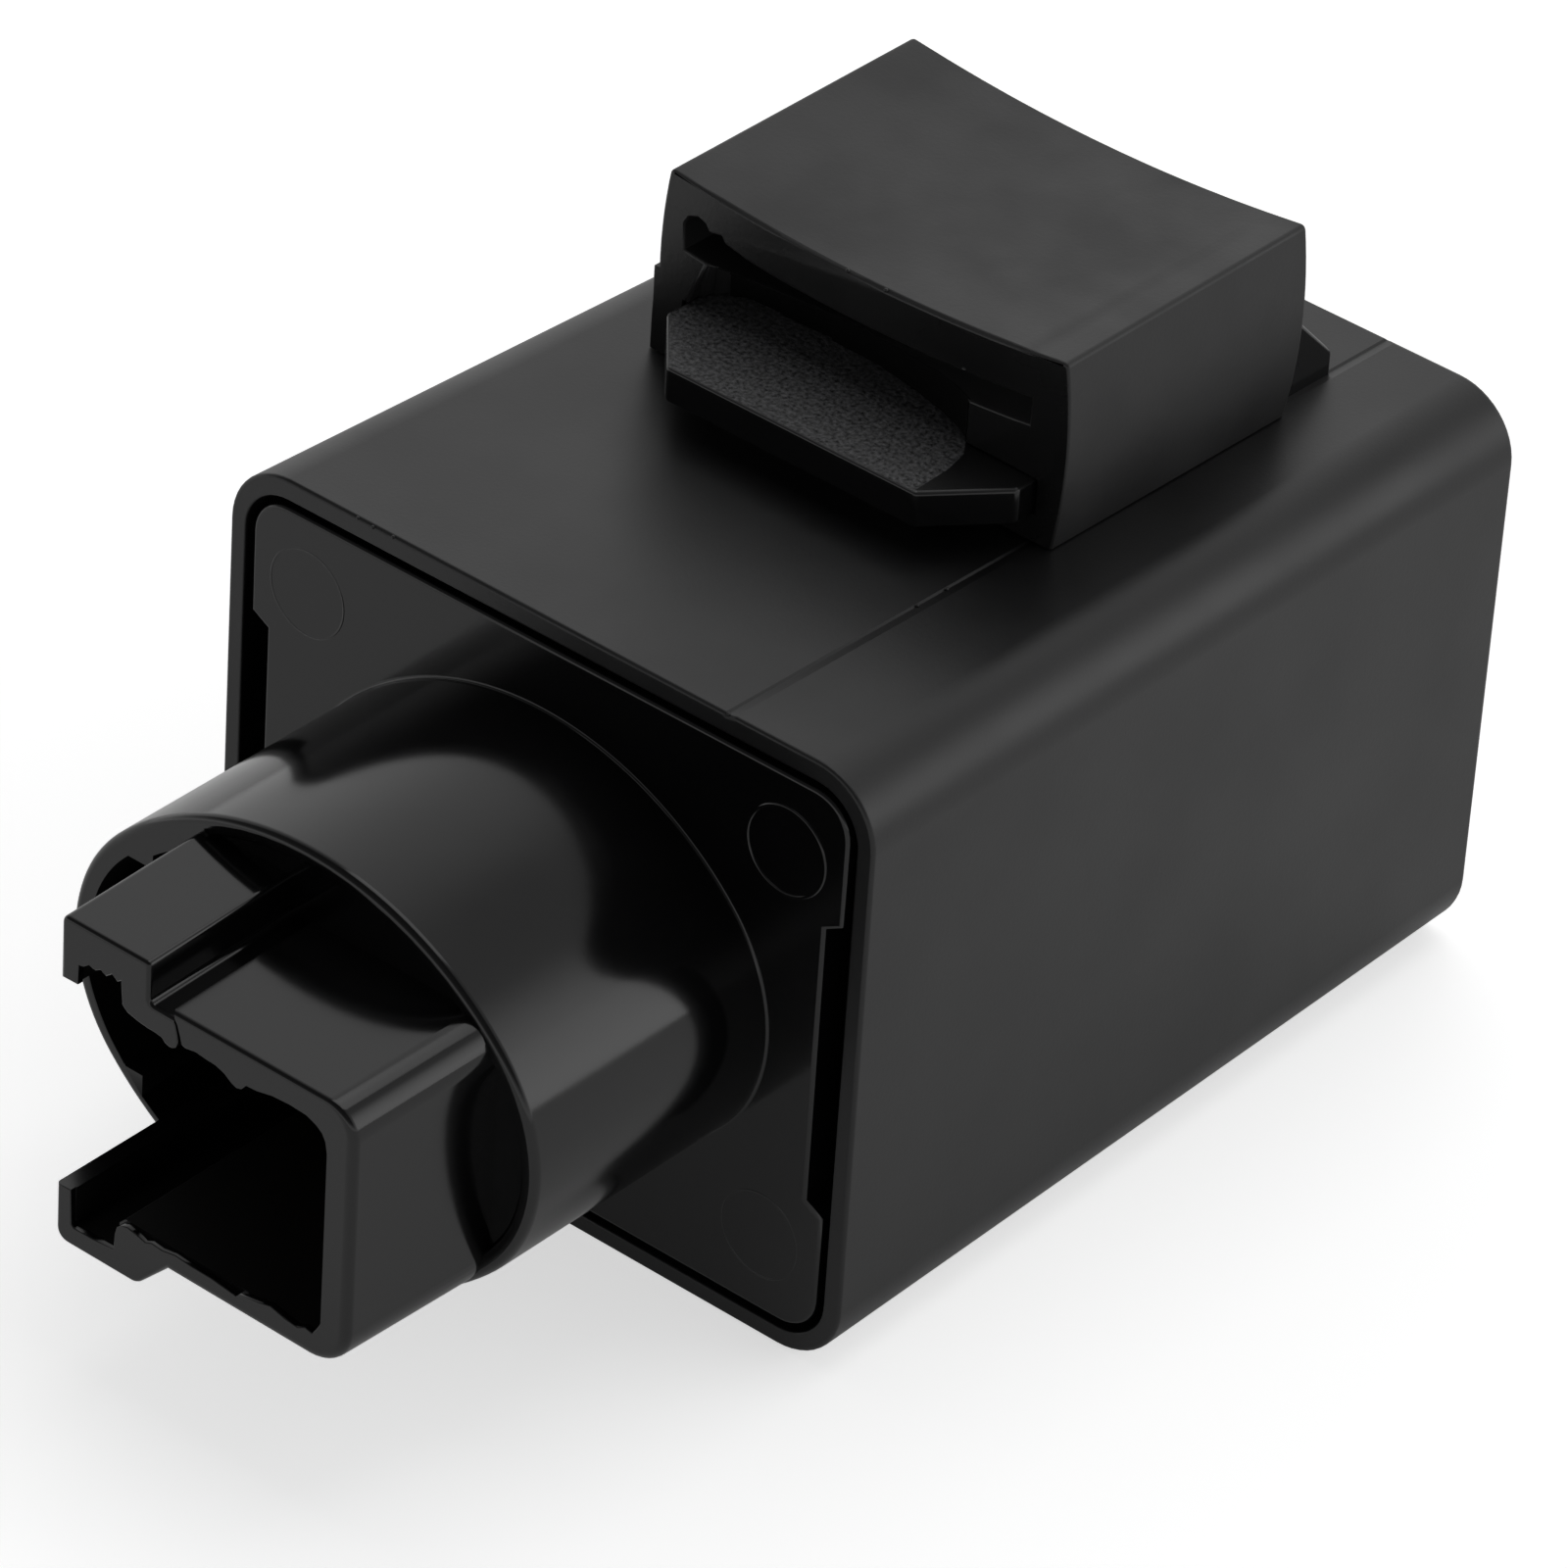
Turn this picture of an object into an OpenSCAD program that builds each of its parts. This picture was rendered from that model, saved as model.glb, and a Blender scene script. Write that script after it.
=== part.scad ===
/* [Case] */
// Width of the case at its open rim
case_w = 32; // [31.5:0.1:32.5]
// Height of the case at its open rim
case_h = 26.7; // [26.5:0.1:27.2]
// Length of the case from the rim to the rear wall
case_l = 39.8; // [39:0.1:42]
// Radius of the four long edges
case_edge_r = 2.9; // [2.4:0.1:3.2]
// Thickness of the side walls
case_wall = 0.8; // [0.7:0.05:0.9]
// Thickness of the rear wall
rear_wall = 1.2; // [1:0.1:1.6]
// How far each side leans in by the rear wall
side_draft = 0.76; // [0.4:0.02:0.9]
// How far the top falls by the rear wall
top_draft = 1.2; // [0.8:0.05:1.4]
// Depth of the sunk panel at its right edge
panel_sink = 0.15; // [0.1:0.05:0.25]

/* [Mounting lug] */
// Height of the lug's upper face
lug_top = 28.95; // [28.8:0.05:29]
// Thickness of the lug's plate
lug_t = 1.6; // [1.5:0.05:1.7]
// Half the width of the lug's plate
lug_half_w = 8.75; // [8.6:0.05:8.8]
// Half the width of the stem below the plate
stem_half_w = 4.9; // [4.5:0.1:5]
// Distance of the lug's front edge from the rim
lug_y = 13.54; // [13:0.1:14]

/* [Rubber sleeve] */
// Distance of the sleeve's front face from the rim
rubber_y = 17.5; // [17.3:0.1:17.8]
// Length of the sleeve
rubber_l = 14.4; // [14:0.1:14.6]
// Greatest half width of the sleeve
rubber_half_w = 10.15; // [10:0.05:10.3]
// Height of the sleeve's upper corners
rubber_top = 34.5; // [34.3:0.1:35]
// Height of the bracket slit
slit_h = 1.15; // [1:0.05:1.3]
// Half the width of the bracket slit
slit_half_w = 8.5; // [8:0.1:8.6]

/* [Base and socket] */
// Thickness of the base plate
plate_t = 2.4; // [2.2:0.1:2.6]
// Half the width of the base plate
plate_half_w = 14.83; // [14.6:0.01:14.85]
// Length of the oval turret in front of the rim
turret_l = 12.9; // [12:0.1:14]
// Half the width of the turret's end arcs
turret_end_r = 7.3; // [7.2:0.05:7.4]
// How far the shroud stands out of the turret
shroud_l = 7.0; // [6:0.1:8]
// Width of a blade terminal
blade_w = 6.3; // [6:0.1:6.4]
// Thickness of a blade terminal
blade_t = 0.8; // [0.7:0.05:0.85]
// Distance between neighbouring blades
blade_pitch = 4.0; // [3.9:0.05:4.1]

/* [Relay movement] */
// Angle by which the resting armature stands open
open_deg = 4; // [3.5:0.1:4]
// Radius of the iron core
core_r = 2.5; // [2.3:0.1:2.6]
// Radius of the copper winding
winding_r = 5.7; // [5.2:0.1:5.8]
// Thickness of the armature plate
armature_t = 1.4; // [1.2:0.1:1.4]
// Thickness of the leaf spring
leaf_t = 0.25; // [0.2:0.01:0.25]

/* [Hidden] */
$fn = 96;
eps = 0.01;
// Clearance between a pressed piece and its hole
fit_gap = 0.03;

// Case
case_half = case_w / 2;
rim_y = -case_l / 2;
top_wall = 0.9;
bottom_wall = 0.8;
inner_r = 2.0;
panel_left = -7.9;
panel_right = 8.8;
panel_start = 0.02;
top_slope = top_draft / case_l;
function case_top(y) = case_h - top_slope * y;
catch_y = 6.0;
catch_len = 1.0;
catch_in = 0.45;
pad_len = 5.0;

// Lug
lug_under = lug_top - lug_t;
lug_front_half = 6.18;
lug_corner_l = 2.96;
stop_y = rubber_y + rubber_l + 0.1;
stop_top_y = 33.6;
stop_foot_y = 36.0;

// Rubber sleeve
sag = 0.65;
sag_chord = 9.7;
sag_r = (sag_chord * sag_chord + sag * sag) / (2 * sag);
side_bulge_r = 22.8;
side_bulge_z = 30.6;
slit_top = rubber_top - sag - 2.0;
slot_gap = 0.12;
lip_half = 5.07;
web_cut_r = 12.7;
web_cut_depth = 2.1;
web_cut_x = -0.6;
web_low = lug_top + 0.05;
rubber_lift = 0.06;

// Base plate
plate_low = 1.1;
plate_high = 25.45;
plate_corner_r = 1.7;
notch_low = 7.2;
notch_high = 19.6;
notch_in = 0.83;
notch_flare = 0.45;
rail_in = 10.2;
rail_w = 2.2;
rail_low = 2.4;
rail_len = 5.8;
tongue_low = 9.0;
tongue_high = 17.8;
tongue_t = 1.0;
tongue_out = 14.5;
tongue_len = 6.2;
barb_out = 0.42;

// Turret oval, drawn from four arcs about its middle height
turret_z = 13.4;
end_x = 4.35;
flank_off = 4.03;
centre_dist = sqrt(end_x * end_x + flank_off * flank_off);
lip_t = 0.9;
recess_depth = 0.45;
pocket_floor_y = -5.0;

// Pockets beside the socket: lip beside the pocket, then two corners of its field
pockets = [
    [0.9, [-12, 14.7], [-7.85, 17.95]],
    [0.65, [-7.6, 14.7], [-5.71, 21]],
    [0.65, [-12, 8.35], [-5.55, 14.2]],
    [0.5, [-7.85, 4.5], [-5.55, 9]]
];

// Shroud, seen from the front
shroud_right = 9.0;
shroud_left = -5.55;
shroud_top = 18.95;
shroud_low = 7.15;
cavity_left = -4.8;
cavity_right = 7.65;
cavity_low = 8.2;
cavity_high = 17.55;
cavity_floor_y = -3.0;
rib_right = -1.15;
rib_top = 20.45;
window_high = 17.75;
side_wall_top = 8.24;
gutter_floor = 18.65;

// Blades
blade_mid_x = (cavity_left + cavity_right) / 2;
blade_mid_z = (cavity_low + cavity_high) / 2;
blade_tip_y = -11.0;
blade_end_y = 5.4;
tail_w = 2.0;
tail_tip = 1.3;

// Circuit board
board_t = 1.6;
board_top = 6.0;
board_low = board_top - board_t;
board_half_w = 13.4;
board_front = 2.9;
board_back = 36.4;
pin_end = board_low - 0.9;

// Relay movement
coil_x = -2.0;
coil_y = 20.5;
strip_t = 1.5;
yoke_half_w = 5.5;
yoke_back = 28.7;
yoke_front = 14.7;
pole_z = 20.0;
rivet_r = 2.0;
head_r = 3.9;
head_t = 1.1;
bobbin_bore_r = core_r + 0.05;
bobbin_tube_r = 3.1;
flange_half = 6.25;
flange_t = 0.8;
bobbin_low = board_top + strip_t;
bobbin_high = pole_z - head_t;
air_gap = 0.12;
pivot_y = yoke_back - strip_t / 2;
pivot_z = pole_z + air_gap;
armature_front = 13.2;
armature_back = pivot_y + 0.1;
leaf_z = pivot_z + armature_t;
leaf_half_w = 3.6;
leaf_front = 8.6;
leaf_low = 11.5;
leaf_tip_half_w = 2.2;
leaf_window = 1.6;
contact_y = 11.0;
contact_r = 1.4;
contact_t = 1.0;
contact_gap = 0.04;
small_rivet_r = 0.6;
rivet_head_r = 1.0;
rivet_head_t = 0.45;
rivet_dx = 2.2;
armature_rivet_y = 18.0;
yoke_rivet_z = 14.0;
strip_half_w = 2.0;
arm_t = 0.8;
arm_front = 8.9;
arm_back = 12.6;
arm_top = leaf_z - contact_t - contact_gap - 0.8;
stop_front = 7.3;
stop_back = 9.7;
stop_gap = 0.06;
stop_low = leaf_z + leaf_t + (pivot_y - leaf_front) * sin(open_deg) + stop_gap;
pin_r = 0.35;
coil_pin_y = 14.9;
coil_pin_dx = 4.6;

// Parts on the board
chip_x = 9.2;
chip_y = 27.0;
chip_half_w = 3.2;
chip_half_l = 4.7;
chip_low = 6.5;
chip_h = 3.3;
lead_pitch = 2.54;
lead_x = 3.81;
lead_w = 0.5;
lead_t = 0.25;
can_x = 9.4;
can_y = 14.6;
can_r = 3.15;
can_low = 6.3;
can_h = 11.0;
can_pin_dx = 1.25;
resistor_x = -11.4;
resistor_span = 7.5;
resistor_y = [13.5, 22.5];
diode_x = -11.4;
diode_y = 31.5;
shunt_x = 8.6;
shunt_y = 7.6;
shunt_span = 4.0;
shunt_r = 0.5;
wire_r = 0.3;

battery_x = blade_mid_x - blade_pitch;
lamp_x = blade_mid_x;
earth_x = blade_mid_x + blade_pitch;
blade_x = [battery_x, lamp_x, earth_x];
tail_y = 3.4;

// Every lead that ends in a solder joint under the board: x, y, radius of its clear hole
function axial_pins(x, y, span, r) = [[x, y - span / 2, r], [x, y + span / 2, r]];
pins = concat(
    [for (x = blade_x) [x, tail_y + tail_w / 2, 0.9]],
    [for (s = [-1, 1]) [coil_x + s * coil_pin_dx, coil_pin_y, pin_r]],
    [for (s = [-1, 1]) [can_x + s * can_pin_dx, can_y, wire_r]],
    [for (y = resistor_y) each axial_pins(resistor_x, y, resistor_span, wire_r)],
    axial_pins(diode_x, diode_y, resistor_span, wire_r),
    axial_pins(shunt_x, shunt_y, shunt_span, shunt_r)
);
chip_pins = [for (s = [-1, 1]) for (i = [-1.5:1:1.5]) [chip_x + s * lead_x, chip_y + i * lead_pitch]];

// Moves what is drawn from the rim's plane to the part's own origin
module from_rim() {
    translate([0, rim_y, 0]) children();
}

// Extrudes a section drawn in X and Z from y0 to y1
module along_y(y0, y1) {
    translate([0, y1, 0]) rotate([90, 0, 0]) linear_extrude(y1 - y0) children();
}

// Extrudes a section drawn in Y and Z from x0 to x1
module along_x(x0, x1) {
    translate([x0, 0, 0]) rotate([90, 0, 90]) linear_extrude(x1 - x0) children();
}

// A plain block from its two corners
module block(low, high) {
    translate(low) cube(high - low);
}

// A rectangle from two corners with round corners of radius r
module round_rect(low, high, r) {
    for (x = [low[0] + r, high[0] - r]) {
        for (z = [low[1] + r, high[1] - r]) {
            translate([x, z]) circle(r);
        }
    }
    translate([low[0] + r, low[1]]) square([high[0] - low[0] - 2 * r, high[1] - low[1]]);
    translate([low[0], low[1] + r]) square([high[0] - low[0], high[1] - low[1] - 2 * r]);
}

// Turns a child about the hinge line of the armature
module about_pivot(angle) {
    translate([0, pivot_y, pivot_z]) rotate([angle, 0, 0]) translate([0, -pivot_y, -pivot_z]) children();
}

// Case: a drafted box, open at the rim
module drafted_box(inset, low, top_inset, r, y0, y1) {
    hull() {
        for (y = [y0, y1 - eps]) {
            lean = side_draft * y / case_l;
            along_y(y, y + eps) {
                round_rect(
                    [-case_half + inset + lean, low],
                    [case_half - inset - lean, case_top(y) - top_inset],
                    r, $fn = 64
                );
            }
        }
    }
}

module lug_outline() {
    polygon([
        [-lug_front_half, lug_y],
        [lug_front_half, lug_y],
        [lug_half_w, lug_y + lug_corner_l],
        [lug_half_w, stop_top_y],
        [-lug_half_w, stop_top_y],
        [-lug_half_w, lug_y + lug_corner_l]
    ]);
}

module lug() {
    root = case_h - top_draft - top_wall / 2;
    translate([0, 0, lug_under]) linear_extrude(lug_t) lug_outline();
    block([-stem_half_w, lug_y + 2, root], [stem_half_w, stop_y + 1, lug_under + eps]);
    along_x(-lug_half_w, lug_half_w) {
        polygon([
            [stop_y, root],
            [stop_foot_y, root],
            [stop_foot_y, lug_top - (stop_foot_y - stop_top_y)],
            [stop_top_y, lug_top],
            [stop_y, lug_top]
        ]);
    }
}

// The sunk panel: a wedge that starts almost level at its left edge
module top_panel() {
    hull() {
        for (y = [-1, case_l + 1]) {
            along_y(y, y + eps) {
                polygon([
                    [panel_left, case_top(y) - panel_start],
                    [panel_right, case_top(y) - panel_sink],
                    [panel_right, case_h + 1],
                    [panel_left, case_h + 1]
                ]);
            }
        }
    }
}

module case() {
    color("#2b2b2b") from_rim() {
        difference() {
            drafted_box(0, 0, 0, case_edge_r, 0, case_l);
            drafted_box(case_wall, bottom_wall, top_wall, inner_r, -eps, case_l - rear_wall);
            top_panel();
        }
        lug();
        for (s = [-1, 1]) {
            catch_x = case_half - case_wall - side_draft * catch_y / case_l;
            along_x_pair(s, catch_x - catch_in, catch_x + case_wall / 2) {
                polygon([
                    [catch_y - catch_in, tongue_low - 0.5],
                    [catch_y + catch_len, tongue_low - 0.5],
                    [catch_y + catch_len, tongue_high + 0.5],
                    [catch_y - catch_in, tongue_high + 0.5]
                ]);
            }
            block(
                [s * 9 - 1.5, plate_t, bottom_wall / 2],
                [s * 9 + 1.5, plate_t + pad_len, plate_low + 0.7]
            );
            block(
                [s * 9 - 1.5, plate_t, plate_high - 0.7],
                [s * 9 + 1.5, plate_t + pad_len, case_h - top_wall]
            );
        }
    }
}

// Extrudes a section drawn in Y and Z between two distances from the middle, on one side
module along_x_pair(side, near, far) {
    if (side > 0) {
        along_x(near, far) children();
    } else {
        along_x(-far, -near) children();
    }
}

// Rubber sleeve: slit above for the bracket's tongue, T slot below for the lug
module rubber_outline() {
    intersection() {
        translate([-rubber_half_w, case_h - 2]) square([2 * rubber_half_w, rubber_top + sag - case_h + 2]);
        translate([rubber_half_w - side_bulge_r, side_bulge_z]) circle(side_bulge_r, $fn = 360);
        translate([-rubber_half_w + side_bulge_r, side_bulge_z]) circle(side_bulge_r, $fn = 360);
        translate([-rubber_half_w, case_h - 2]) square([2 * rubber_half_w, rubber_top - case_h + 2]);
    }
}

module sag_band(low, high, half_w) {
    intersection() {
        difference() {
            translate([0, low + sag_r]) circle(sag_r, $fn = 720);
            translate([0, high + sag_r]) circle(sag_r, $fn = 720);
        }
        translate([-half_w, low - 1]) square([2 * half_w, high - low + 4]);
    }
}

module rubber_mount() {
    back = rubber_y + rubber_l;
    color("#3d3d3d") from_rim() difference() {
        along_y(rubber_y, back) difference() {
            rubber_outline();
            translate([0, rubber_top - sag + sag_r]) circle(sag_r, $fn = 720);
            sag_band(slit_top - slit_h, slit_top, slit_half_w);
            translate([-lug_half_w - slot_gap, lug_under]) {
                square([2 * (lug_half_w + slot_gap), web_low - lug_under]);
            }
            translate([-lip_half, 0]) square([2 * lip_half, lug_under + eps]);
        }
        translate([web_cut_x, rubber_y + web_cut_depth - web_cut_r, lug_under]) {
            cylinder(h = slit_top - slit_h / 2 - lug_under, r = web_cut_r, $fn = 180);
        }
        along_x(-case_half, case_half) {
            polygon([
                [0, 0],
                [case_l, 0],
                [case_l, case_top(case_l) + rubber_lift],
                [0, case_top(0) + rubber_lift]
            ]);
        }
    }
}

// Base: plate, oval turret and keyed shroud, moulded as one
module plate_outline() {
    difference() {
        round_rect([-plate_half_w, plate_low], [plate_half_w, plate_high], plate_corner_r);
        for (s = [-1, 1]) {
            polygon([
                [s * (plate_half_w - notch_in), notch_low],
                [s * (plate_half_w - notch_in), notch_high],
                [s * plate_half_w, notch_high + notch_flare],
                [s * (plate_half_w + 1), notch_high + notch_flare],
                [s * (plate_half_w + 1), notch_low - notch_flare],
                [s * plate_half_w, notch_low - notch_flare]
            ]);
        }
    }
}

// The turret's oval, grown by g: two end arcs and two flat flank arcs that meet them smoothly
module oval(g) {
    r = turret_end_r + g;
    big = r + centre_dist;
    join_x = end_x + r * end_x / centre_dist;
    translate([0, turret_z]) {
        for (s = [-1, 1]) {
            translate([s * end_x, 0]) circle(r, $fn = 180);
        }
        intersection() {
            translate([0, -flank_off]) circle(big, $fn = 360);
            translate([0, flank_off]) circle(big, $fn = 360);
            square([2 * join_x, 2 * big], center = true);
        }
    }
}

module shroud_outline() {
    low_r = 1.8;
    high_r = 1.4;
    mid_x = 2;
    rib_cut = 0.45;
    foot_low = 5.75;
    foot_right = -1.45;
    difference() {
        union() {
            translate([shroud_right - low_r, shroud_low + low_r]) circle(low_r);
            translate([shroud_right - high_r, shroud_top - high_r]) circle(high_r);
            polygon([
                [shroud_left, shroud_low],
                [shroud_right - low_r, shroud_low],
                [shroud_right, shroud_low + low_r],
                [shroud_right, shroud_top - high_r],
                [shroud_right - high_r, shroud_top],
                [shroud_left, shroud_top]
            ]);
            polygon([
                [shroud_left, shroud_top - mid_x],
                [rib_right, shroud_top - mid_x],
                [rib_right, rib_top],
                [shroud_left + rib_cut, rib_top],
                [shroud_left, rib_top - rib_cut]
            ]);
            polygon([
                [shroud_left, side_wall_top],
                [shroud_left, foot_low + 0.6],
                [shroud_left + 0.6, foot_low],
                [foot_right, foot_low],
                [foot_right + shroud_low - foot_low, shroud_low],
                [foot_right + shroud_low - foot_low, side_wall_top]
            ]);
        }
        translate([rib_right, gutter_floor]) square([-rib_right, 1]);
    }
}

module cavity_outline() {
    round_rect([cavity_left, cavity_low], [cavity_right, cavity_high], 0.5);
    translate([cavity_left, cavity_low]) square([2, cavity_high - cavity_low]);
    translate([cavity_left, 6.72]) square([2.2, 2]);
    translate([cavity_left + 0.1, cavity_high - 0.5]) square([2.2, 1.9]);
}

// Deep pockets that core the turret beside the socket
module left_pockets() {
    for (p = pockets) {
        intersection() {
            oval(-p[0]);
            translate(p[1]) square(p[2] - p[1]);
        }
    }
}

module recess_outline() {
    left = -5.4;
    difference() {
        intersection() {
            oval(-lip_t);
            polygon([
                [left, 4],
                [20, 4],
                [20, 24],
                [left + 4, 24],
                [left, 20.25]
            ]);
        }
        translate([left - 1, 4]) square([7, 4.5]);
    }
}

module base() {
    front = -turret_l;
    mouth = front - shroud_l;
    color("#161616") from_rim() {
        difference() {
            union() {
                along_y(0, plate_t) plate_outline();
                along_y(front, eps) oval(0);
                along_y(mouth, front + recess_depth + eps) shroud_outline();
            }
            along_y(front - eps, front + recess_depth) difference() {
                recess_outline();
                shroud_outline();
            }
            along_y(front - eps, pocket_floor_y) left_pockets();
            along_y(front - eps, pocket_floor_y) {
                translate([shroud_left - 0.5, side_wall_top]) square([1.3, 5.8]);
            }
            along_y(mouth - eps, cavity_floor_y) cavity_outline();
            along_y(mouth - eps, front + recess_depth) {
                translate([shroud_left - 1, side_wall_top]) {
                    square([cavity_left - shroud_left + 1.2, window_high - side_wall_top]);
                }
            }
            for (x = blade_x) {
                block(
                    [x - blade_t / 2 - fit_gap, cavity_floor_y - 1, blade_mid_z - blade_w / 2 - fit_gap],
                    [x + blade_t / 2 + fit_gap, plate_t + 1, blade_mid_z + blade_w / 2 + fit_gap]
                );
            }
        }
        for (s = [-1, 1]) {
            block(
                [s * (rail_in + rail_w / 2) - rail_w / 2, plate_t - eps, rail_low],
                [s * (rail_in + rail_w / 2) + rail_w / 2, plate_t + rail_len, board_low]
            );
            latch_tongue(s);
        }
    }
}

module latch_tongue(s) {
    tip = plate_t + tongue_len;
    barb = catch_y + catch_len + 0.1;
    along_z(tongue_low, tongue_high) {
        polygon([
            [s * (tongue_out - tongue_t), plate_t - eps],
            [s * (tongue_out - 0.55), plate_t - eps],
            [s * tongue_out, plate_t + 0.55],
            [s * tongue_out, barb],
            [s * (tongue_out + barb_out), barb],
            [s * tongue_out, tip],
            [s * (tongue_out - tongue_t), tip]
        ]);
    }
    along_z(tongue_low, tongue_high) {
        polygon([
            [s * (tongue_out - tongue_t), plate_t - 0.6],
            [s * (plate_half_w - notch_in), plate_t - 0.6],
            [s * (plate_half_w - notch_in), plate_t],
            [s * (tongue_out - tongue_t), plate_t]
        ]);
    }
}

// Extrudes a plan from z0 to z1
module along_z(z0, z1) {
    translate([0, 0, z0]) linear_extrude(z1 - z0) children();
}

// Blade terminal: stamped from flat strip, with a shoulder against the plate and a tail through the board
module terminal(x) {
    half = blade_w / 2;
    taper = 1.0;
    shoulder = 0.5;
    neck = 0.35;
    color("#c9b36b") from_rim() along_x(x - blade_t / 2, x + blade_t / 2) {
        polygon([
            [blade_tip_y, blade_mid_z - half + taper],
            [blade_tip_y + taper, blade_mid_z - half],
            [plate_t, blade_mid_z - half],
            [plate_t, blade_mid_z - half - shoulder],
            [tail_y, blade_mid_z - half - shoulder],
            [tail_y, board_top],
            [tail_y + neck, board_top],
            [tail_y + neck, pin_end],
            [tail_y + neck + tail_tip, pin_end],
            [tail_y + neck + tail_tip, board_top],
            [tail_y + tail_w, board_top],
            [blade_end_y, blade_mid_z - half],
            [blade_end_y, blade_mid_z + half + shoulder],
            [plate_t, blade_mid_z + half + shoulder],
            [plate_t, blade_mid_z + half],
            [blade_tip_y + taper, blade_mid_z + half],
            [blade_tip_y, blade_mid_z + half - taper]
        ]);
    }
}

module battery_terminal() {
    terminal(battery_x);
}

module lamp_terminal() {
    terminal(lamp_x);
}

module earth_terminal() {
    terminal(earth_x);
}

module circuit_board() {
    corner = 1.5;
    slot = 0.15;
    color("#2f5d3a") from_rim() difference() {
        along_z(board_low, board_top) {
            polygon([
                [-board_half_w, board_front],
                [board_half_w, board_front],
                [board_half_w, board_back - corner],
                [board_half_w - corner, board_back],
                [-board_half_w + corner, board_back],
                [-board_half_w, board_back - corner]
            ]);
        }
        for (x = blade_x) {
            block(
                [x - blade_t / 2 - slot, tail_y + 0.35 - slot, board_low - 1],
                [x + blade_t / 2 + slot, tail_y + 0.35 + tail_tip + slot, board_top + 1]
            );
        }
        for (y = [arm_front, stop_front]) {
            block(
                [coil_x - strip_half_w / 2 - slot, y - slot, board_low - 1],
                [coil_x + strip_half_w / 2 + slot, y + arm_t + slot, board_top + 1]
            );
        }
        for (s = [-1, 1]) {
            block(
                [coil_x + s * 4 - 1 - slot, yoke_back - strip_t - slot, board_low - 1],
                [coil_x + s * 4 + 1 + slot, yoke_back + slot, board_top + 1]
            );
        }
        for (p = [for (i = [3:len(pins) - 1]) pins[i]]) {
            translate([p[0], p[1], board_low - 1]) cylinder(h = board_t + 2, r = p[2] + 0.08, $fn = 24);
        }
        for (p = chip_pins) {
            translate([p[0], p[1], board_low - 1]) cylinder(h = board_t + 2, r = 0.4, $fn = 24);
        }
    }
}

// Yoke: folded iron strip with two tabs through the board
module yoke() {
    color("#9a9a96") from_rim() {
        difference() {
            along_x(coil_x - yoke_half_w, coil_x + yoke_half_w) {
                polygon([
                    [yoke_front, board_top],
                    [yoke_back, board_top],
                    [yoke_back, pole_z],
                    [yoke_back - strip_t, pole_z],
                    [yoke_back - strip_t, board_top + strip_t],
                    [yoke_front, board_top + strip_t]
                ]);
            }
            translate([coil_x, coil_y, board_top - 1]) cylinder(h = strip_t + 2, r = rivet_r + fit_gap);
            for (s = [-1, 1]) {
                translate([coil_x + s * rivet_dx, yoke_back - strip_t - 1, yoke_rivet_z]) {
                    rotate([-90, 0, 0]) cylinder(h = strip_t + 2, r = small_rivet_r + fit_gap, $fn = 32);
                }
                block(
                    [coil_x + s * coil_pin_dx - 1, yoke_front - 1, board_top - 1],
                    [coil_x + s * coil_pin_dx + 1, coil_pin_y + 1, board_top + strip_t + 1]
                );
            }
        }
        for (s = [-1, 1]) {
            block(
                [coil_x + s * 4 - 1, yoke_back - strip_t, pin_end],
                [coil_x + s * 4 + 1, yoke_back, board_top + eps]
            );
        }
    }
}

module bobbin() {
    flange_front = coil_y - flange_half;
    color("#e8e2cf") from_rim() difference() {
        union() {
            for (z = [bobbin_low, bobbin_high - flange_t]) {
                along_z(z, z + flange_t) {
                    round_rect(
                        [coil_x - flange_half, flange_front],
                        [coil_x + flange_half, coil_y + flange_half],
                        1
                    );
                }
            }
            translate([coil_x, coil_y, bobbin_low]) {
                cylinder(h = bobbin_high - bobbin_low, r = bobbin_tube_r);
            }
        }
        translate([coil_x, coil_y, bobbin_low - 1]) {
            cylinder(h = bobbin_high - bobbin_low + 2, r = bobbin_bore_r);
        }
        for (s = [-1, 1]) {
            translate([coil_x + s * coil_pin_dx, coil_pin_y, bobbin_low - 1]) {
                cylinder(h = flange_t + 2, r = pin_r + fit_gap, $fn = 24);
            }
        }
    }
}

module coil_winding() {
    gap = 0.02;
    color("#b5562c") from_rim() translate([coil_x, coil_y, bobbin_low + flange_t + gap]) {
        difference() {
            cylinder(h = bobbin_high - bobbin_low - 2 * flange_t - 2 * gap, r = winding_r);
            translate([0, 0, -1]) cylinder(h = bobbin_high - bobbin_low, r = bobbin_tube_r + gap);
        }
    }
}

module core() {
    color("#8d8d8a") from_rim() translate([coil_x, coil_y, 0]) rotate_extrude() {
        polygon([
            [0, board_top],
            [rivet_r, board_top],
            [rivet_r, bobbin_low],
            [core_r, bobbin_low],
            [core_r, pole_z - head_t],
            [head_r, pole_z - head_t],
            [head_r, pole_z],
            [0, pole_z]
        ]);
    }
}

// Armature: iron plate that rests open and closes on the pole face
module armature() {
    notch = 1.2;
    color("#a2a29e") from_rim() about_pivot(-open_deg) difference() {
        along_z(pivot_z, pivot_z + armature_t) {
            polygon([
                [coil_x - yoke_half_w + notch, armature_front],
                [coil_x + yoke_half_w - notch, armature_front],
                [coil_x + yoke_half_w, armature_front + notch],
                [coil_x + yoke_half_w, armature_back],
                [coil_x - yoke_half_w, armature_back],
                [coil_x - yoke_half_w, armature_front + notch]
            ]);
        }
        for (s = [-1, 1]) {
            translate([coil_x + s * rivet_dx, armature_rivet_y, pivot_z - 1]) {
                cylinder(h = armature_t + 2, r = small_rivet_r + fit_gap, $fn = 32);
            }
        }
    }
}

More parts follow.
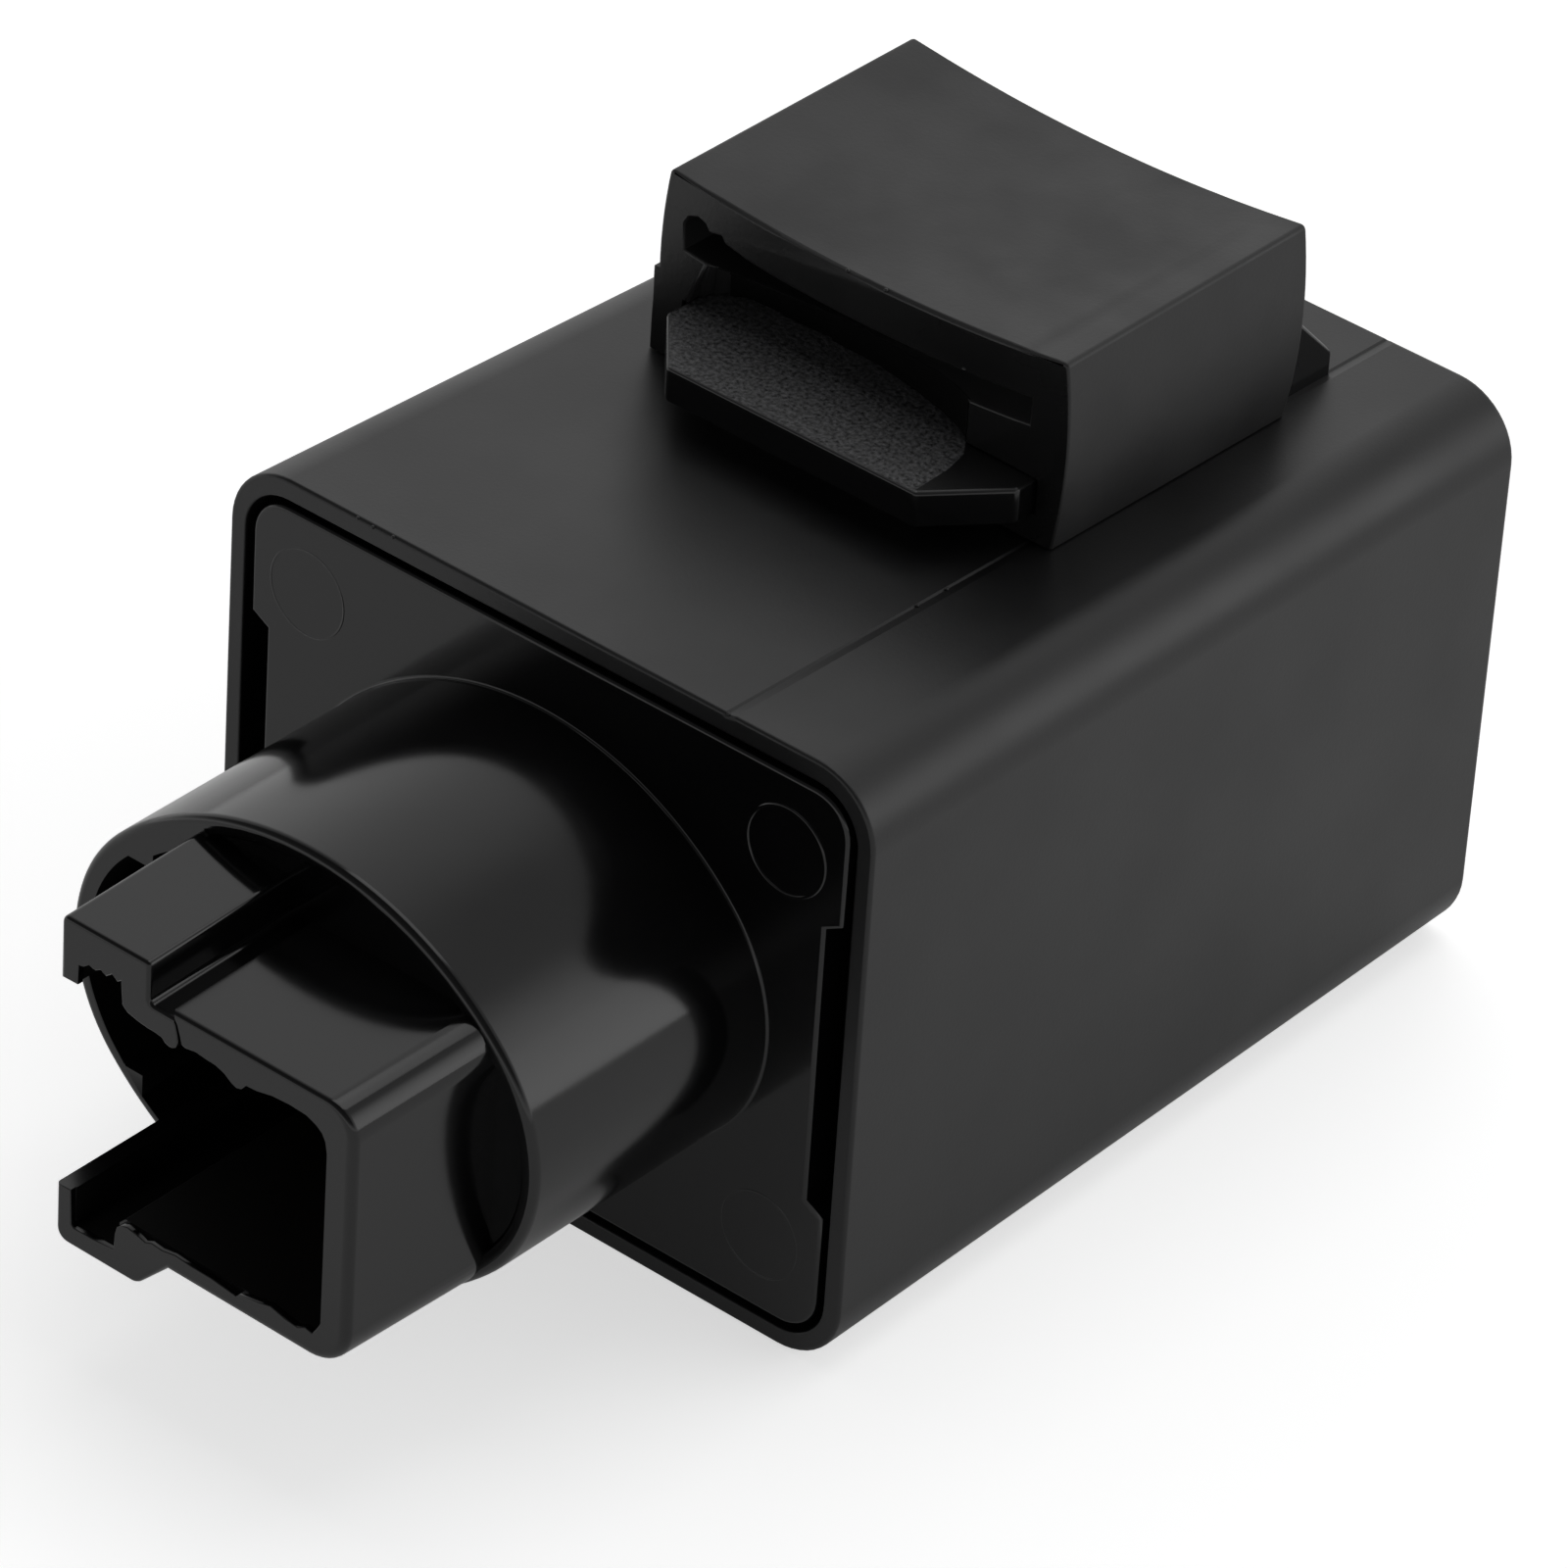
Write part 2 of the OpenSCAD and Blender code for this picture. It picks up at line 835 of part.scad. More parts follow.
// Contact spring: one leaf, riveted to the yoke, bent over the hinge and riveted to the armature
module contact_spring() {
    lift = armature_back - pivot_y;
    corner_y = pivot_y + lift * cos(open_deg) + armature_t * sin(open_deg);
    corner_z = pivot_z - lift * sin(open_deg) + armature_t * cos(open_deg);
    bend_r = (yoke_back - corner_y) / (1 - sin(open_deg));
    bend_y = corner_y - bend_r * sin(open_deg);
    bend_z = corner_z - bend_r * cos(open_deg);
    lap = 0.03;
    color("#c98f4e") from_rim() {
        difference() {
            union() {
                about_pivot(-open_deg) along_z(leaf_z, leaf_z + leaf_t) leaf_plan();
                along_x(coil_x - leaf_half_w, coil_x + leaf_half_w) {
                    intersection() {
                        difference() {
                            translate([bend_y, bend_z]) circle(bend_r + leaf_t, $fn = 64);
                            translate([bend_y, bend_z]) circle(bend_r, $fn = 64);
                        }
                        polygon([
                            [bend_y, bend_z - lap],
                            [bend_y + 4, bend_z - lap],
                            [bend_y + 4, bend_z + 4],
                            [bend_y + 4 * sin(open_deg) - lap, bend_z + 4 * cos(open_deg)],
                            [bend_y - lap, bend_z]
                        ]);
                    }
                    translate([yoke_back, leaf_low]) square([leaf_t, bend_z - leaf_low]);
                }
            }
            block(
                [coil_x - leaf_window, pivot_y - 0.6, pole_z - 2],
                [coil_x + leaf_window, yoke_back + 1, pole_z + 3]
            );
            for (s = [-1, 1]) {
                translate([coil_x + s * rivet_dx, yoke_back - 1, yoke_rivet_z]) {
                    rotate([-90, 0, 0]) cylinder(h = 2, r = small_rivet_r + fit_gap, $fn = 32);
                }
            }
        }
    }
}

module leaf_plan() {
    difference() {
        polygon([
            [coil_x - leaf_tip_half_w, leaf_front],
            [coil_x + leaf_tip_half_w, leaf_front],
            [coil_x + leaf_tip_half_w, armature_front],
            [coil_x + leaf_half_w, armature_front + 2],
            [coil_x + leaf_half_w, armature_back],
            [coil_x - leaf_half_w, armature_back],
            [coil_x - leaf_half_w, armature_front + 2],
            [coil_x - leaf_tip_half_w, armature_front]
        ]);
        translate([coil_x, contact_y]) circle(small_rivet_r + fit_gap, $fn = 32);
        for (s = [-1, 1]) {
            translate([coil_x + s * rivet_dx, armature_rivet_y]) circle(small_rivet_r + fit_gap, $fn = 32);
        }
    }
}

// A rivet along Z with a head at each end of the stack that it holds
module rivet(low, high, low_head_t, low_head_r) {
    cylinder(h = high - low, r = small_rivet_r, $fn = 32);
    translate([0, 0, high - low]) cylinder(h = rivet_head_t, r1 = rivet_head_r, r2 = 0.6, $fn = 32);
    translate([0, 0, -low_head_t]) cylinder(h = low_head_t, r = low_head_r, $fn = 48);
}

module moving_contact() {
    color("#d9d9d4") from_rim() about_pivot(-open_deg) translate([coil_x, contact_y, leaf_z]) {
        rivet(0, leaf_t, contact_t, contact_r);
    }
}

module armature_rivets() {
    color("#b9a26a") from_rim() about_pivot(-open_deg) {
        for (s = [-1, 1]) {
            translate([coil_x + s * rivet_dx, armature_rivet_y, pivot_z]) {
                cylinder(h = armature_t + leaf_t, r = small_rivet_r, $fn = 32);
                translate([0, 0, armature_t + leaf_t]) {
                    cylinder(h = rivet_head_t, r1 = rivet_head_r, r2 = 0.6, $fn = 32);
                }
            }
        }
    }
}

module yoke_rivets() {
    color("#b9a26a") from_rim() {
        for (s = [-1, 1]) {
            translate([coil_x + s * rivet_dx, yoke_back - strip_t, yoke_rivet_z]) rotate([-90, 0, 0]) {
                cylinder(h = strip_t + leaf_t, r = small_rivet_r, $fn = 32);
                translate([0, 0, strip_t + leaf_t]) {
                    cylinder(h = rivet_head_t, r1 = rivet_head_r, r2 = 0.6, $fn = 32);
                }
            }
        }
    }
}

module fixed_contact() {
    color("#d9d9d4") from_rim() translate([coil_x, contact_y, arm_top]) {
        cylinder(h = 0.8, r1 = contact_r + 0.1, r2 = contact_r);
        translate([0, 0, -arm_t]) cylinder(h = arm_t, r = small_rivet_r, $fn = 32);
    }
}

// A folded strip that stands in the board and reaches rearwards at its top
module standing_strip(front, back, top) {
    along_x(coil_x - strip_half_w, coil_x + strip_half_w) {
        polygon([
            [front, board_top],
            [front + arm_t, board_top],
            [front + arm_t, top - arm_t],
            [back, top - arm_t],
            [back, top],
            [front, top]
        ]);
    }
    block(
        [coil_x - strip_half_w / 2, front, pin_end],
        [coil_x + strip_half_w / 2, front + arm_t, board_top + eps]
    );
}

module fixed_contact_arm() {
    color("#c9b36b") from_rim() difference() {
        standing_strip(arm_front, arm_back, arm_top);
        translate([coil_x, contact_y, arm_top - 2]) cylinder(h = 3, r = small_rivet_r + fit_gap, $fn = 32);
    }
}

module back_stop() {
    color("#c9b36b") from_rim() standing_strip(stop_front, stop_back, stop_low + arm_t);
}

module coil_pins() {
    color("#c7c7c2") from_rim() {
        for (s = [-1, 1]) {
            translate([coil_x + s * coil_pin_dx, coil_pin_y, pin_end]) {
                cylinder(h = bobbin_low + flange_t + 1.2 - pin_end, r = pin_r, $fn = 24);
            }
        }
    }
}

// Moulded chip with a notch that marks its first lead
module flasher_chip() {
    color("#222222") from_rim() difference() {
        along_z(chip_low, chip_low + chip_h) {
            translate([chip_x - chip_half_w, chip_y - chip_half_l]) square([2 * chip_half_w, 2 * chip_half_l]);
        }
        translate([chip_x, chip_y - chip_half_l, chip_low + chip_h - 0.6]) cylinder(h = 1, r = 0.8, $fn = 32);
    }
}

module chip_leads() {
    shoulder_z = chip_low + chip_h / 2;
    color("#c7c7c2") from_rim() {
        for (s = [-1, 1]) {
            for (i = [-1.5:1:1.5]) {
                y = chip_y + i * lead_pitch;
                translate([chip_x, 0, 0]) along_y(y - lead_w / 2, y + lead_w / 2) {
                    polygon([
                        [s * chip_half_w, shoulder_z - lead_t / 2],
                        [s * (lead_x - lead_t / 2), shoulder_z - lead_t / 2],
                        [s * (lead_x - lead_t / 2), pin_end],
                        [s * (lead_x + lead_t / 2), pin_end],
                        [s * (lead_x + lead_t / 2), shoulder_z + lead_t / 2],
                        [s * chip_half_w, shoulder_z + lead_t / 2]
                    ]);
                }
            }
        }
    }
}

// Capacitor can with a rolled neck over its rubber seal
module timing_capacitor() {
    wall = 0.25;
    seal_h = 1.6;
    neck_z = 1.0;
    color("#39424d") from_rim() translate([can_x, can_y, can_low]) rotate_extrude() {
        difference() {
            union() {
                square([can_r, can_h - 0.4]);
                square([can_r - 0.4, can_h]);
                translate([can_r - 0.4, can_h - 0.4]) circle(0.4, $fn = 48);
            }
            translate([-1, -1]) square([1 + can_r - wall - 0.2, 1 + seal_h]);
            translate([can_r + 0.25, neck_z]) circle(0.45, $fn = 32);
            translate([-1, 0]) square([1, can_h]);
        }
    }
}

module capacitor_seal() {
    color("#1c1c1c") from_rim() translate([can_x, can_y, can_low]) difference() {
        cylinder(h = 1.6, r = can_r - 0.45 - 0.02);
        for (s = [-1, 1]) {
            translate([s * can_pin_dx, 0, -1]) cylinder(h = 4, r = wire_r + fit_gap, $fn = 24);
        }
    }
}

module capacitor_leads() {
    color("#c7c7c2") from_rim() {
        for (s = [-1, 1]) {
            translate([can_x + s * can_pin_dx, can_y, pin_end]) {
                cylinder(h = can_low + 1.5 - pin_end, r = wire_r, $fn = 24);
            }
        }
    }
}

// A part with one lead at each end, laid along Y and bent down through the board
module axial_part(x, y, span, body_r, body_l, end_r, end_l) {
    axis_z = board_top + end_r + 0.05;
    bend_r = 0.7;
    half = span / 2;
    translate([x, y, axis_z]) {
        rotate([90, 0, 0]) {
            cylinder(h = body_l, r = body_r, center = true);
            for (s = [-1, 1]) {
                translate([0, 0, s * (body_l - end_l) / 2]) cylinder(h = end_l, r = end_r, center = true);
            }
            cylinder(h = span - 2 * bend_r, r = wire_r, center = true, $fn = 32);
        }
        for (s = [-1, 1]) {
            translate([0, s * (half - bend_r), -bend_r]) rotate([0, -90, 0]) rotate([0, 0, s > 0 ? 0 : -90]) {
                rotate_extrude(angle = 90, $fn = 32) translate([bend_r, 0]) circle(wire_r, $fn = 32);
            }
            translate([0, s * half, pin_end - axis_z]) {
                cylinder(h = axis_z - bend_r - pin_end, r = wire_r, $fn = 32);
            }
        }
    }
}

module timing_resistor() {
    color("#c8b98c") from_rim() axial_part(resistor_x, resistor_y[0], resistor_span, 0.75, 4.2, 0.95, 1.1);
}

module sense_resistor() {
    color("#c8b98c") from_rim() axial_part(resistor_x, resistor_y[1], resistor_span, 0.75, 4.2, 0.95, 1.1);
}

module suppression_diode() {
    color("#2a2a2a") from_rim() axial_part(diode_x, diode_y, resistor_span, 1.3, 5.0, 1.3, 1.0);
}

// Shunt: a staple of thick wire that carries the lamp current
module current_shunt() {
    top_z = board_top + 3.2;
    bend_r = 1.2;
    half = shunt_span / 2;
    color("#b87a4b") from_rim() translate([shunt_x, shunt_y, 0]) {
        for (s = [-1, 1]) {
            translate([0, s * half, pin_end]) cylinder(h = top_z - bend_r - pin_end, r = shunt_r, $fn = 32);
            translate([0, s * (half - bend_r), top_z - bend_r]) rotate([0, -90, 0]) rotate([0, 0, s > 0 ? 0 : -90]) {
                rotate_extrude(angle = 90, $fn = 32) translate([bend_r, 0]) circle(shunt_r, $fn = 32);
            }
        }
        translate([0, 0, top_z]) rotate([90, 0, 0]) {
            cylinder(h = shunt_span - 2 * bend_r, r = shunt_r, center = true, $fn = 32);
        }
    }
}

// Solder: a small cone round every round lead, where it comes out under the board
module solder_joints() {
    solder_h = 0.7;
    color("#c4c6c8") from_rim() {
        for (i = [3:len(pins) - 1]) {
            p = pins[i];
            translate([p[0], p[1], board_low - solder_h]) difference() {
                cylinder(h = solder_h, r1 = p[2] + 0.15, r2 = p[2] + 0.6, $fn = 32);
                translate([0, 0, -1]) cylinder(h = solder_h + 2, r = p[2] + 0.02, $fn = 32);
            }
        }
    }
}

case();
rubber_mount();
base();
battery_terminal();
lamp_terminal();
earth_terminal();
circuit_board();
yoke();
bobbin();
coil_winding();
core();
armature();
contact_spring();
moving_contact();
armature_rivets();
yoke_rivets();
fixed_contact();
fixed_contact_arm();
back_stop();
coil_pins();
flasher_chip();
chip_leads();
timing_capacitor();
capacitor_seal();
capacitor_leads();
timing_resistor();
sense_resistor();
suppression_diode();
current_shunt();
solder_joints();
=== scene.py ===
"""Models and finishes a rubber-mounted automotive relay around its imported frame."""

from math import atan2, cos, pi, radians, sin, sqrt

import bmesh
import bpy
from bpy.props import FloatProperty, FloatVectorProperty, PointerProperty
from bpy.types import Operator, Panel, PropertyGroup
from mathutils import Matrix, Vector


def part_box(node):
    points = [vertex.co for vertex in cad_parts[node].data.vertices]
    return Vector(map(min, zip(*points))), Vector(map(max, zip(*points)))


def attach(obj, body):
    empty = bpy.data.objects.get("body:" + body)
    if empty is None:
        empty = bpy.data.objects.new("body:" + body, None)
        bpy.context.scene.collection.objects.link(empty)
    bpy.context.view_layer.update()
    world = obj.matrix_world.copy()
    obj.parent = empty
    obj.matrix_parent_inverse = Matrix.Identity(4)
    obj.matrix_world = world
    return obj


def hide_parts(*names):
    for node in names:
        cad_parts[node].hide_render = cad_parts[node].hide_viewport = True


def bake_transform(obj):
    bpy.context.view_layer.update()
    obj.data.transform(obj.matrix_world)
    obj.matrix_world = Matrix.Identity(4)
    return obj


bl_info = {
    "name": "Automotive relay",
    "version": (1, 0, 0),
    "blender": (4, 5, 0),
    "location": "View3D > Sidebar > Relay",
    "description": "Models the outside of a rubber-mounted relay and finishes every piece",
    "category": "Add Mesh",
}

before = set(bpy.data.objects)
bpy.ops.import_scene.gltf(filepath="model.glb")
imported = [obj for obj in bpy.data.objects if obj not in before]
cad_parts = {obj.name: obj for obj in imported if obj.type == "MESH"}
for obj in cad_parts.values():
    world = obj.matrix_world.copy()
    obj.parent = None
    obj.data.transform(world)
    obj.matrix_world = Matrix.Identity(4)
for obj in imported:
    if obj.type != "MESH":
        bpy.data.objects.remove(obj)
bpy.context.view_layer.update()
CASE_LOW, CASE_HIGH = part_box("case")
SLEEVE_LOW, SLEEVE_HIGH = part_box("rubber_mount")

MM = 0.001
RIM_Y = CASE_LOW.y
REAR_Y = CASE_HIGH.y

# How far a cutter reaches past what it cuts, and a joined part into the next
OVER = 1 * MM
SINK = 0.5 * MM
# The least overlap of two pieces, and how near a face or an edge counts as in a plane
HAIR = 0.01 * MM
# How near a point counts as on an outline or a front face
NEAR = 0.02 * MM
# A face looks along an axis when its normal has more than this of it
ALONG = 0.9
# The turret's oval: radius and place of its end arcs, offset of its flank arcs, height of its middle
OVAL_R, OVAL_X, OVAL_FLANK, OVAL_Z = 7.3 * MM, 4.35 * MM, 4.03 * MM, 13.4 * MM
# Centre of the arc at the shroud's upper right, in millimetres
CORNER_X, CORNER_Z = 7.6, 17.55
# Painted shade: near-black put on faces deep inside the sleeve and the socket, where shade falls
SHADE_BLACK = (0.002, 0.002, 0.002)
BLADES = ("battery_terminal", "lamp_terminal", "earth_terminal")


def length(name, text, mm):
    """A size in metres, given in millimetres."""
    return FloatProperty(name=name, description=text, default=mm * MM, unit="LENGTH", precision=5)


def angle(name, text, value):
    """An angle, given in degrees."""
    return FloatProperty(name=name, description=text, default=radians(value), subtype="ANGLE", precision=3)


def colour(name, text, value):
    """A finish's base colour, as linear red, green and blue."""
    return FloatVectorProperty(name=name, description=text, default=value, min=0, max=1, subtype="COLOR")


class RelayCaseSettings(PropertyGroup):
    """Sizes of the box case and its lug."""

    width: length("Width", "Width at the open rim", 32.0)
    height: length("Height", "Height at the open rim", 26.7)
    edge_r: length("Edge radius", "Radius of the four long edges", 2.9)
    wall: length("Wall", "Thickness of the side walls at the rim", 0.8)
    side_draft: length("Side draft", "How far each side leans in by the rear wall", 0.76)
    top_draft: length("Top draft", "How far the top falls by the rear wall", 1.2)
    rim_edge: length("Rim edge", "Roundness of the rim's outer edge", 0.17)
    edge: length("Edge", "Roundness of the lug's edges", 0.18)
    lug_top: length("Lug height", "Height of the lug's upper face", 28.95)
    lug_t: length("Lug thickness", "Thickness of the lug's plate", 1.6)
    grain_depth: length("Grain depth", "How far the lug's grained field lies below its edge", 0.03)
    colour: colour("Case colour", "Satin black plastic", (0.0045, 0.0045, 0.0048))
    # The grain is real; its light grey and its bright specks are painted sheen and glints on the black
    # plastic
    grain_sheen_colour: colour("Grain colour", "Worn grain on the lug", (0.065, 0.065, 0.067))


class RelaySleeveSettings(PropertyGroup):
    """Sizes of the rubber sleeve."""

    half_width: length("Half width", "Greatest half width", 10.15)
    side_r: length("Side radius", "Radius of the bulging sides", 22.8)
    sag: length("Sag", "How far the top sags in the middle", 0.65)
    top_t: length("Top thickness", "Thickness of the wall above the slit", 2.0)
    slit_h: length("Slit height", "Height of the bracket slit", 1.15)
    edge: length("Edge", "Roundness of the front and rear edges", 0.14)
    side_edge: length("Side edge", "Roundness between the top and the sides", 0.22)
    cut_edge: length("Cut edge", "Roundness of the edges round the slit", 0.1)
    colour: colour("Rubber colour", "Matt black rubber", (0.011, 0.011, 0.0113))


class RelaySocketSettings(PropertyGroup):
    """Sizes of the base plate, the turret and the shroud."""

    plate_t: length("Plate thickness", "Thickness of the base plate", 2.4)
    plate_edge: length("Plate edge", "Roundness of the plate's front edge", 0.2)
    turret_l: length("Turret length", "How far the oval turret stands out", 12.9)
    lip_t: length("Lip", "Thickness of the turret's lip", 0.9)
    outer_edge: length("Outer lip edge", "Roundness of the lip outside", 0.35)
    inner_edge: length("Inner lip edge", "Roundness of the lip inside", 0.42)
    root: length("Root", "Fillet where the turret meets the plate", 0.13)
    shroud_l: length("Shroud length", "How far the shroud stands out of the turret", 7.0)
    draft: length("Shroud draft", "How much the shroud's top and right face grow towards its root", 0.28)
    mouth_edge: length("Mouth edge", "Greatest roundness of the shroud's front edge", 0.4)
    flash_t: length("Flash", "Thickness of the ragged flash at the mouth", 0.3)
    colour: colour("Socket colour", "Glossy black plastic", (0.003, 0.003, 0.0032))


class RelayStageSettings(PropertyGroup):
    """Camera, lamp and floor."""

    azimuth: angle("Azimuth", "Camera direction round the relay", 38.394)
    elevation: angle("Elevation", "Camera height angle", 34.416)
    roll: angle("Roll", "How far the camera leans", 3.949)
    lens: FloatProperty(name="Lens", description="Focal length", default=227.78, unit="CAMERA")
    place: FloatVectorProperty(
        name="Place", description="Where the camera stands", unit="LENGTH",
        default=(0.19685, -0.25364, 0.2293),
    )
    floor: colour("Floor colour", "Pale floor", (0.9, 0.9, 0.9))
    floor_gap: length("Floor gap", "How far the floor lies below the relay's flat underside", 0.05)
    surround: FloatProperty(name="Surround", description="Strength of the pale surround", default=0.9)


def deselect():
    """Leaves nothing selected, in object mode."""
    if bpy.context.object and bpy.context.object.mode != "OBJECT":
        bpy.ops.object.mode_set(mode="OBJECT")
    bpy.ops.object.select_all(action="DESELECT")


def activate(piece):
    """Selects this piece alone."""
    deselect()
    piece.select_set(True)
    bpy.context.view_layer.objects.active = piece


def settle(piece):
    """Puts the piece's place into its mesh."""
    activate(piece)
    bpy.ops.object.transform_apply(location=True, rotation=True, scale=True)
    return piece


def add_box(name, low, high):
    """A block between two corners."""
    deselect()
    low, high = Vector(low), Vector(high)
    bpy.ops.mesh.primitive_cube_add(size=1, location=(low + high) / 2)
    piece = bpy.context.object
    piece.name = name
    piece.scale = high - low
    return settle(piece)


def add_prism(name, outline, reach, along):
    """A face with this outline, extruded by reach. along puts an outline's point in space."""
    deselect()
    bpy.ops.mesh.primitive_circle_add(vertices=len(outline), radius=1, fill_type="NGON")
    piece = bpy.context.object
    piece.name = name
    for vertex, point in zip(piece.data.vertices, outline):
        vertex.co = along(*point)
    bpy.ops.object.mode_set(mode="EDIT")
    bpy.ops.mesh.select_all(action="SELECT")
    bpy.ops.mesh.extrude_region_move(TRANSFORM_OT_translate={"value": reach})
    bpy.ops.mesh.select_all(action="SELECT")
    bpy.ops.mesh.normals_make_consistent(inside=False)
    bpy.ops.object.mode_set(mode="OBJECT")
    return piece


def front_prism(name, outline, y0, y1):
    """An outline in X and Z, extruded from y0 to y1."""
    return add_prism(name, outline, (0, y1 - y0, 0), lambda x, z: (x, y0, z))


def plan_prism(name, outline, z0, z1):
    """An outline in X and Y, extruded from z0 to z1."""
    return add_prism(name, outline, (0, 0, z1 - z0), lambda x, y: (x, y, z0))


def side_prism(name, outline, x0, x1):
    """An outline in Y and Z, extruded from x0 to x1."""
    return add_prism(name, outline, (x1 - x0, 0, 0), lambda y, z: (x0, y, z))


def apply_modifier(piece, kind, **values):
    """Adds a modifier and applies it."""
    activate(piece)
    modifier = piece.modifiers.new(kind.lower(), kind)
    for key, value in values.items():
        setattr(modifier, key, value)
    bpy.ops.object.modifier_apply(modifier=modifier.name)
    return piece


def combine(piece, others, operation):
    """Adds, cuts or keeps in common, and removes the other pieces."""
    for other in others:
        apply_modifier(piece, "BOOLEAN", operation=operation, solver="EXACT", object=other)
        bpy.data.objects.remove(other)
    return piece


def pick(piece, kind, test):
    """Selects the faces or the edges that pass the test, in edit mode."""
    activate(piece)
    bpy.ops.object.mode_set(mode="EDIT")
    bpy.ops.mesh.select_mode(type=kind)
    bpy.ops.mesh.select_all(action="DESELECT")
    mesh = bmesh.from_edit_mesh(piece.data)
    for part in mesh.faces if kind == "FACE" else mesh.edges:
        part.select_set(test(part))
    bmesh.update_edit_mesh(piece.data)


def pick_faces(piece, test):
    """Selects the faces whose centre and normal pass the test."""
    pick(piece, "FACE", lambda face: test(face.calc_center_median(), face.normal))


def pick_edges(piece, test, bend=0):
    """Selects the edges that bend enough and whose two ends pass the test."""
    def chosen(edge):
        return edge.calc_face_angle(0) >= radians(bend) and test(edge.verts[0].co, edge.verts[1].co)

    pick(piece, "EDGE", chosen)


def everywhere(a, b):
    """The test that every edge passes."""
    return True


def at_y(y, more=None):
    """A test for edges in the plane at y, whose ends pass a second test too if one is given."""
    tolerance = 0.004 * MM

    def test(a, b):
        level = max(abs(a.y - y), abs(b.y - y)) < tolerance
        return level and (more is None or (more(a) and more(b)))

    return test


def bevel(piece, width, test, bend=25, segments=3):
    """Rounds the edges that bend by at least this angle and whose two ends pass the test."""
    pick_edges(piece, test, bend)
    bpy.ops.mesh.bevel(
        offset=width, offset_type="OFFSET", segments=segments, affect="EDGES", clamp_overlap=False
    )
    bpy.ops.object.mode_set(mode="OBJECT")
    return piece


def bevel_in_shares(piece, width, share):
    """Rounds each edge by its own share of the width. share is called with an edge's middle."""
    mesh = piece.data
    weights = mesh.attributes.new("bevel_weight_edge", "FLOAT", "EDGE")
    for edge in mesh.edges:
        a, b = (mesh.vertices[i].co for i in edge.vertices)
        weights.data[edge.index].value = share((a + b) / 2)
    return apply_modifier(
        piece, "BEVEL", width=width, segments=4, limit_method="WEIGHT", use_clamp_overlap=False
    )


def smooth(piece, crease=None):
    """Smooths the shading across round edges, keeps the wide faces flat and breaks it at creases."""
    activate(piece)
    bpy.ops.object.shade_smooth_by_angle(angle=radians(50))
    if crease:
        pick_edges(piece, crease)
        bpy.ops.mesh.mark_sharp()
        bpy.ops.object.mode_set(mode="OBJECT")
    return apply_modifier(piece, "WEIGHTED_NORMAL", mode="FACE_AREA", weight=100, keep_sharp=True)


def clean(piece):
    """Merges doubled points and joins flat neighbours."""
    activate(piece)
    bpy.ops.object.mode_set(mode="EDIT")
    bpy.ops.mesh.select_all(action="SELECT")
    bpy.ops.mesh.remove_doubles(threshold=0.002 * MM)
    bpy.ops.mesh.dissolve_limited(angle_limit=radians(0.5))
    bpy.ops.object.mode_set(mode="OBJECT")
    return piece


def add_nibs(piece, spots, r):
    """Joins small lumps of flash to a piece. Each spot is x, y behind the rim and z, in millimetres."""
    lumps = []
    for x, y, z in spots:
        deselect()
        bpy.ops.mesh.primitive_ico_sphere_add(subdivisions=2, radius=r, location=(x * MM, at_rim(y), z * MM))
        lumps.append(settle(bpy.context.object))
    activate(piece)
    for lump in lumps:
        lump.select_set(True)
    bpy.ops.object.join()
    return piece


def arc(x, z, r, start, end, steps):
    """Points on a circle from one angle to another, in degrees."""
    turns = [radians(start + (end - start) * i / steps) for i in range(steps + 1)]
    return [(x + r * cos(t), z + r * sin(t)) for t in turns]


def round_corners(x0, z0, x1, z1, r, steps):
    """A rectangle with round corners, anticlockwise from its lower left."""
    return (
        arc(x0 + r, z0 + r, r, 180, 270, steps)
        + arc(x1 - r, z0 + r, r, 270, 360, steps)
        + arc(x1 - r, z1 - r, r, 0, 90, steps)
        + arc(x0 + r, z1 - r, r, 90, 180, steps)
    )


def at_rim(y):
    """A distance behind the rim, in millimetres, as a place in the frame."""
    return RIM_Y + y * MM


def in_metres(points):
    """Outline points given in millimetres."""
    return [(a * MM, b * MM) for a, b in points]


def add_materials(piece, names):
    """Puts these materials on a piece, in this order."""
    for name in names:
        piece.data.materials.append(bpy.data.materials[name])


def give_material(piece, index, test):
    """Gives the faces that pass the test one of the piece's materials."""
    pick_faces(piece, test)
    piece.active_material_index = index
    bpy.ops.object.material_slot_assign()
    bpy.ops.object.mode_set(mode="OBJECT")


def hand_over(piece, node, body="relay"):
    """The piece stands for a node: it rides on its body, and the node is hidden."""
    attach(piece, body)
    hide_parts(node)


def case_top(case, y):
    """Height of the case's top at a place along it."""
    return case.height - case.top_draft * (y - RIM_Y) / (REAR_Y - RIM_Y)


def rim_gap(case, point):
    """How far a point in the rim's plane lies outside the rim's outline, negative inside."""
    across = abs(point.x) - case.width / 2 + case.edge_r
    up = abs(point.z - case.height / 2) - case.height / 2 + case.edge_r
    return sqrt(max(across, 0) ** 2 + max(up, 0) ** 2) + min(max(across, up), 0) - case.edge_r


